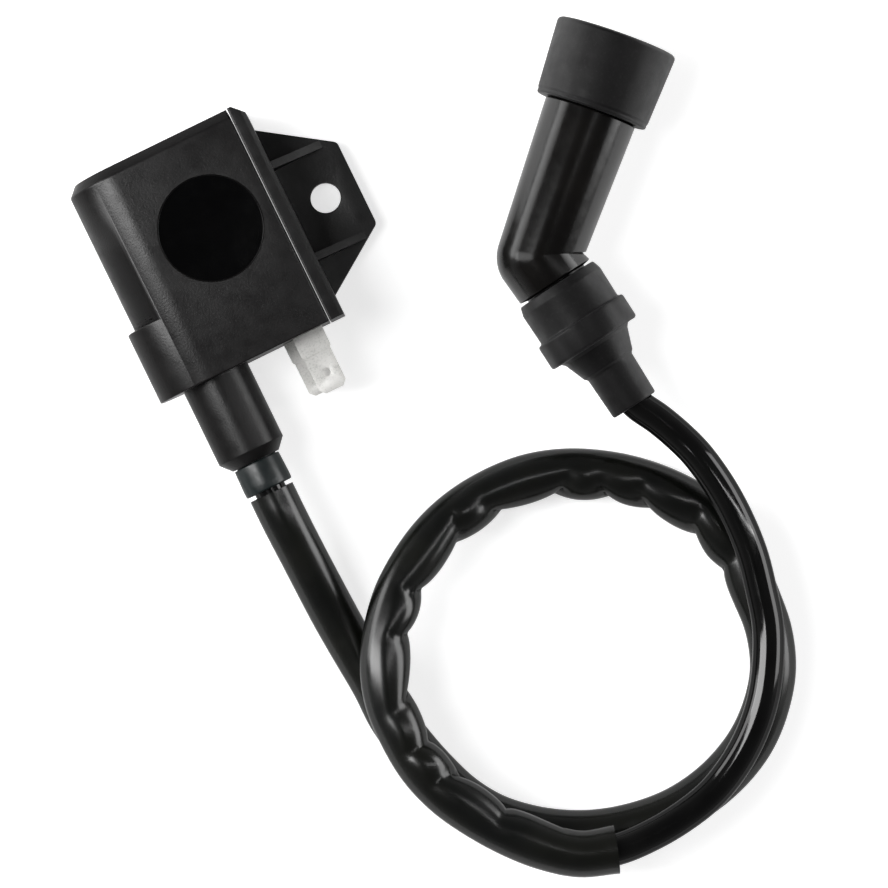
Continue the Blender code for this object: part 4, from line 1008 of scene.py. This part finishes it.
def make_coil_length(meet):
    """Lead from inside the tower to the meeting point."""
    near = along("lead_jacket_tower_end", BARREL, DOWN_TOWER)[0]
    inside_tower = []
    for reach in (near, near + 12 * MM, TOWER_END, TOWER_END + 4 * MM):
        inside_tower.append(BARREL + DOWN_TOWER * reach)
    path = smooth_path(inside_tower + centre_line[:meet + 1], 8)
    lead = lead_rod("lead_coil_length", path, 1.6 * MM)
    start, end = TOWER_PIVOT - DOWN_TOWER * 0.6 * MM, TOWER_PIVOT + DOWN_TOWER * 1.2 * MM
    bend_over(lead, "coil", "lead", start, end, "lead_rubber", "lead_jacket_tower_end")


def make_cap_length(meet, last):
    """Lead from the meeting point into the cap; it sags to one side before it enters the gaiter."""
    far = along("lead_jacket_cap_end", ELBOW, CABLE_ARM)[0]
    aside = UP.cross(CABLE_ARM)
    into_cap = []
    for reach, sideways in CAP_APPROACH:
        into_cap.append(ELBOW + CABLE_ARM * reach * MM + aside * sideways * MM)
    into_cap.append(ELBOW + CABLE_ARM * far)
    outside = range(last + 1, len(centre_line))
    coil_end = next(i for i in outside if (centre_line[i] - CAP_PIVOT).length < 18 * MM)
    path = smooth_path(centre_line[meet:coil_end + 1] + into_cap, 10)
    lead = lead_rod("lead_cap_length", path, 1.2 * MM)
    start, end = CAP_PIVOT + CABLE_ARM * 6 * MM, CAP_PIVOT - CABLE_ARM * 1.0 * MM
    bend_over(lead, "lead", "lead_end", start, end, "lead_rubber", "lead_jacket", "lead_jacket_cap_end")


def make_lead(last):
    """Lead in two lengths that meet inside the sleeve."""
    meet = last - 3
    make_coil_length(meet)
    make_cap_length(meet, last)


# ---------------------------------------------------------------- plug cap

ELBOW_SIDES = 96
ELBOW_RADIUS = 9.2 * MM
ARM_END_RADIUS = 10.2 * MM
ARM_LENGTH = 33.2 * MM
SPIGOT_RADIUS = 9.45 * MM
CABLE_ARM_RADIUS = 8.9 * MM
CABLE_SPIGOT_RADIUS = 7.2 * MM
MITRE = (PLUG_ARM + CABLE_ARM).normalized()
ACROSS = (PLUG_ARM - CABLE_ARM).normalized()


def elbow_ring(centre, onward, radius):
    level = UP.cross(onward).normalized()
    row = []
    for k in range(ELBOW_SIDES):
        angle = math.tau * k / ELBOW_SIDES
        row.append(centre + level * radius * math.cos(angle) + UP * radius * math.sin(angle))
    return row


def arm_rings(profile, arm, onward):
    """Rings of one arm, whose inner side stops at the mitre between the two arms."""
    side = 1 if arm.dot(ACROSS) > 0 else -1
    rings = []
    for distance, radius in profile:
        ring = []
        for point in elbow_ring(ELBOW + arm * distance, onward, radius):
            past = (point - ELBOW).dot(ACROSS) * side
            if past < 0 and (point - ELBOW).dot(MITRE) > 0:
                point = point - arm * (past / (arm.dot(ACROSS) * side))
            ring.append(point)
        rings.append(ring)
    return rings


def corner_rings(count):
    """Rings that swing round the outside of the corner; their inner points lie on the mitre."""
    turn = (-PLUG_ARM).angle(CABLE_ARM)
    swing_axis = (-PLUG_ARM).cross(CABLE_ARM).normalized()
    rings = []
    for i in range(1, count):
        onward = Matrix.Rotation(turn * i / count, 3, swing_axis) @ -PLUG_ARM
        ring = []
        for point in elbow_ring(ELBOW, onward, ELBOW_RADIUS):
            inward = (point - ELBOW).dot(MITRE)
            if inward > 0:
                flat = point - ACROSS * (point - ELBOW).dot(ACROSS)
                point = flat + MITRE * (inward / math.cos(turn / 2) - (flat - ELBOW).dot(MITRE))
            ring.append(point)
        rings.append(ring)
    return rings


def elbow_skin():
    """Both arms and the corner between them as one closed skin."""
    spigot_end = along("elbow_shell", ELBOW, PLUG_ARM)[1]
    cable_end = along("elbow_shell", ELBOW, CABLE_ARM)[1]
    plug_profile = rounded(
        [(spigot_end, 0.0), (spigot_end, SPIGOT_RADIUS), (ARM_LENGTH + 0.4 * MM, SPIGOT_RADIUS),
         (ARM_LENGTH, ARM_END_RADIUS), (0.0, ELBOW_RADIUS)],
        [0, 0.4 * MM, 0.1 * MM, 0.3 * MM, 0], closed=False,
    )
    cable_profile = rounded(
        [(0.0, ELBOW_RADIUS), (6.3 * MM, CABLE_ARM_RADIUS), (6.6 * MM, CABLE_SPIGOT_RADIUS),
         (cable_end, CABLE_SPIGOT_RADIUS), (cable_end, 0.0)],
        [0, 0.3 * MM, 0.1 * MM, 0.3 * MM, 0], closed=False,
    )
    rings = arm_rings(plug_profile[1:], PLUG_ARM, -PLUG_ARM)
    rings += corner_rings(20)
    rings += arm_rings(cable_profile[1:-1], CABLE_ARM, CABLE_ARM)
    return loft("elbow_housing", rings, CAP_RESIN, sharp=40)


def elbow_hollows():
    """Resistor's well in the plug arm, the lead's bore in the cable arm, and a pocket where they meet."""
    spigot_end = along("elbow_shell", ELBOW, PLUG_ARM)[1] + CUT_PAST
    cable_end = along("elbow_shell", ELBOW, CABLE_ARM)[1] + CUT_PAST
    wide, narrow, screw, pocket = 6.6 * MM, 4.2 * MM, 1.6 * MM, 4.8 * MM
    well = [(spigot_end, 0.0), (spigot_end, wide), (28 * MM, wide), (28 * MM, narrow),
            (0.0, narrow), (0.0, 0.0)]
    bore = [(cable_end, 0.0), (cable_end, CABLE_BORE), (7.5 * MM, CABLE_BORE), (7.5 * MM, screw),
            (0.0, screw), (0.0, 0.0)]
    half_turn = [math.pi * i / 16 for i in range(17)]
    ball = [(pocket * math.cos(angle), pocket * math.sin(angle)) for angle in half_turn]
    return [
        lathe("well", well, ELBOW, PLUG_ARM, steps=64),
        lathe("bore", bore, ELBOW, CABLE_ARM, steps=48),
        lathe("pocket", ball, ELBOW, UP, steps=32),
    ]


def make_elbow_shell():
    """Glossy elbow: one smooth skin that turns the corner between its two arms."""
    shell = elbow_skin()
    combine(shell, elbow_hollows(), "DIFFERENCE")
    shade(shell, 40)
    stand_in(shell, "cap", "cap_resin", "elbow_shell")


def make_cable_boot():
    """Rubber boot on the cable arm: hood, thick flange, cone, collar and thin gaiter."""
    near, far, _ = along("cable_boot", ELBOW, CABLE_ARM)
    bore, seat, seat_end = 3.62 * MM, 7.45 * MM, 19.3 * MM
    flange, flange_start, flange_end = 11.0 * MM, 16.3 * MM, 22.2 * MM
    profile = rounded(
        [(far, 5.35 * MM), (28.2 * MM, 5.6 * MM), (27.6 * MM, 6.2 * MM), (23.0 * MM, 7.9 * MM),
         (flange_end, 8.6 * MM), (flange_end, flange), (flange_start, flange), (flange_start, 9.8 * MM),
         (near + 2.0 * MM, 9.9 * MM), (near, 9.3 * MM), (near, seat), (seat_end, seat), (seat_end, bore),
         (far - 4.5 * MM, bore), (far, bore + 0.6 * MM)],
        [0.5 * MM, 0.8 * MM, 0.5 * MM, 0.8 * MM, 0.6 * MM, 0.7 * MM, 0.7 * MM, 0.5 * MM, 0.8 * MM, 0.5 * MM,
         0.2 * MM, 0.2 * MM, 0.2 * MM, 2.0 * MM, 0.4 * MM],
    )

    def flats(distance, angle, radius):
        """Shallow grip flats round the flange."""
        if radius < 10.2 * MM:
            return radius
        return radius - 0.28 * MM * (0.5 + 0.5 * math.cos(angle * 8)) ** 2

    boot = lathe("cable_boot_skin", profile, ELBOW, CABLE_ARM, BOOT_RUBBER, steps=128, shape=flats)
    stand_in(boot, "cap", "boot_rubber", "cable_boot")


def make_plug_boot():
    """Rubber boot on the plug end, a little wider at its mouth, with a beaded root."""
    near, far, mouth = along("plug_boot", ELBOW, PLUG_ARM)
    root, seat, lip = 12.55 * MM, 9.8 * MM, 8.6 * MM
    seat_end = 45.4 * MM
    profile = rounded(
        [(far, mouth), (near + 1.4 * MM, root + 0.05 * MM), (near + 0.9 * MM, root - 0.15 * MM),
         (near, root - 0.1 * MM), (near, seat), (seat_end, seat), (seat_end, lip), (far - 1.5 * MM, lip),
         (far, lip + 1.5 * MM)],
        [0.9 * MM, 0.4 * MM, 0.3 * MM, 0.45 * MM, 0.3 * MM, 0.3 * MM, 0.4 * MM, 0.5 * MM, 0.5 * MM],
    )
    boot = lathe("plug_boot_skin", profile, ELBOW, PLUG_ARM, BOOT_RUBBER, steps=144)
    stand_in(boot, "plug_boot", "boot_rubber", "plug_boot")


dress_cad_nodes()
make_case()
make_cover()
make_tower_seal()
make_terminal("primary_blade", "primary_terminal", *blade_front)
make_terminal("ground_blade", "ground_terminal", *blade_back)
make_lead(make_sleeve())
make_elbow_shell()
make_cable_boot()
make_plug_boot()

# ---------------------------------------------------------------- studio

VIEW_TURN = math.radians(-26.0)
TARGET = BOLT_AXIS + Vector((-0.3 * MM, -59.6 * MM, 8.0 * MM))
CAMERA_HEIGHT = 1.2
FIELD = 193.0 * MM
SENSOR = 36.0


def view_point(right, up, height):
    """Point given in the camera's own directions from the target."""
    turn = Matrix.Rotation(VIEW_TURN, 3, "Z")
    return TARGET + turn @ Vector((right, up, height))


def make_camera():
    data = bpy.data.cameras.new("camera")
    data.sensor_width = SENSOR
    data.lens = SENSOR * CAMERA_HEIGHT / FIELD
    camera = bpy.data.objects.new("camera", data)
    camera.location = view_point(0.0, 0.0, CAMERA_HEIGHT)
    camera.rotation_euler = (0.0, 0.0, VIEW_TURN)
    bpy.context.scene.collection.objects.link(camera)
    bpy.context.scene.camera = camera


def make_floor():
    """White sweep that glows to the camera and stays dimmer in the black parts' reflections."""
    half = 3.0
    corners = [(-half, -half, 0), (half, -half, 0), (half, half, 0), (-half, half, 0)]
    look = Look("studio_floor", (0.75, 0.75, 0.75), 0.8)
    look.vary_colour(look.noise(0.4), (0.73, 0.73, 0.73))
    look.set(Emission_Color=(1.0, 1.0, 1.0, 1.0))
    seen = look.nodes.new("ShaderNodeLightPath").outputs["Is Camera Ray"]
    look.links.new(look.map_range(seen, 0.0, 1.0, 0.25, 0.65), look.surface.inputs["Emission Strength"])
    floor = piece("floor", corners, [(0, 1, 2, 3)], look.material)
    floor.location.z = cad_box[0].z - 0.4 * MM


def softbox(name, right, up, height, width, length, power):
    """Oblong light aimed at the target, placed in the camera's own directions."""
    data = bpy.data.lights.new(name, "AREA")
    data.shape = "RECTANGLE"
    data.size = width
    data.size_y = length
    data.energy = power
    light = bpy.data.objects.new(name, data)
    light.location = view_point(right, up, height)
    aim = TARGET - light.location
    light.rotation_euler = aim.to_track_quat("-Z", "Y").to_euler()
    bpy.context.scene.collection.objects.link(light)


def make_world():
    """Bright horizon and a dimmer zenith, so that black surfaces keep their form."""
    world = bpy.data.worlds.new("studio")
    world.use_nodes = True
    bpy.context.scene.world = world
    nodes, links = world.node_tree.nodes, world.node_tree.links
    place = nodes.new("ShaderNodeTexCoord").outputs["Generated"]
    split = nodes.new("ShaderNodeSeparateXYZ")
    ramp = nodes.new("ShaderNodeValToRGB")
    links.new(place, split.inputs["Vector"])
    links.new(split.outputs["Z"], ramp.inputs["Fac"])
    ramp.color_ramp.elements[0].position = 0.0
    ramp.color_ramp.elements[0].color = (0.35, 0.35, 0.35, 1.0)
    ramp.color_ramp.elements[1].position = 1.0
    ramp.color_ramp.elements[1].color = (0.06, 0.06, 0.062, 1.0)
    middle = ramp.color_ramp.elements.new(0.55)
    middle.color = (0.12, 0.12, 0.122, 1.0)
    background = nodes["Background"]
    links.new(ramp.outputs["Color"], background.inputs["Color"])
    background.inputs["Strength"].default_value = 1.0


make_camera()
make_floor()
make_world()
softbox("left_softbox", -0.68, 0.05, 0.78, 0.36, 0.9, 10.5)
softbox("right_strip", 0.62, 0.2, 0.86, 0.022, 1.1, 1.2)
softbox("right_card", 0.85, 0.2, 0.3, 0.8, 0.45, 5.0)
softbox("left_card", -0.85, 0.3, 0.3, 0.6, 0.4, 3.2)
bpy.context.scene.view_settings.view_transform = "Standard"
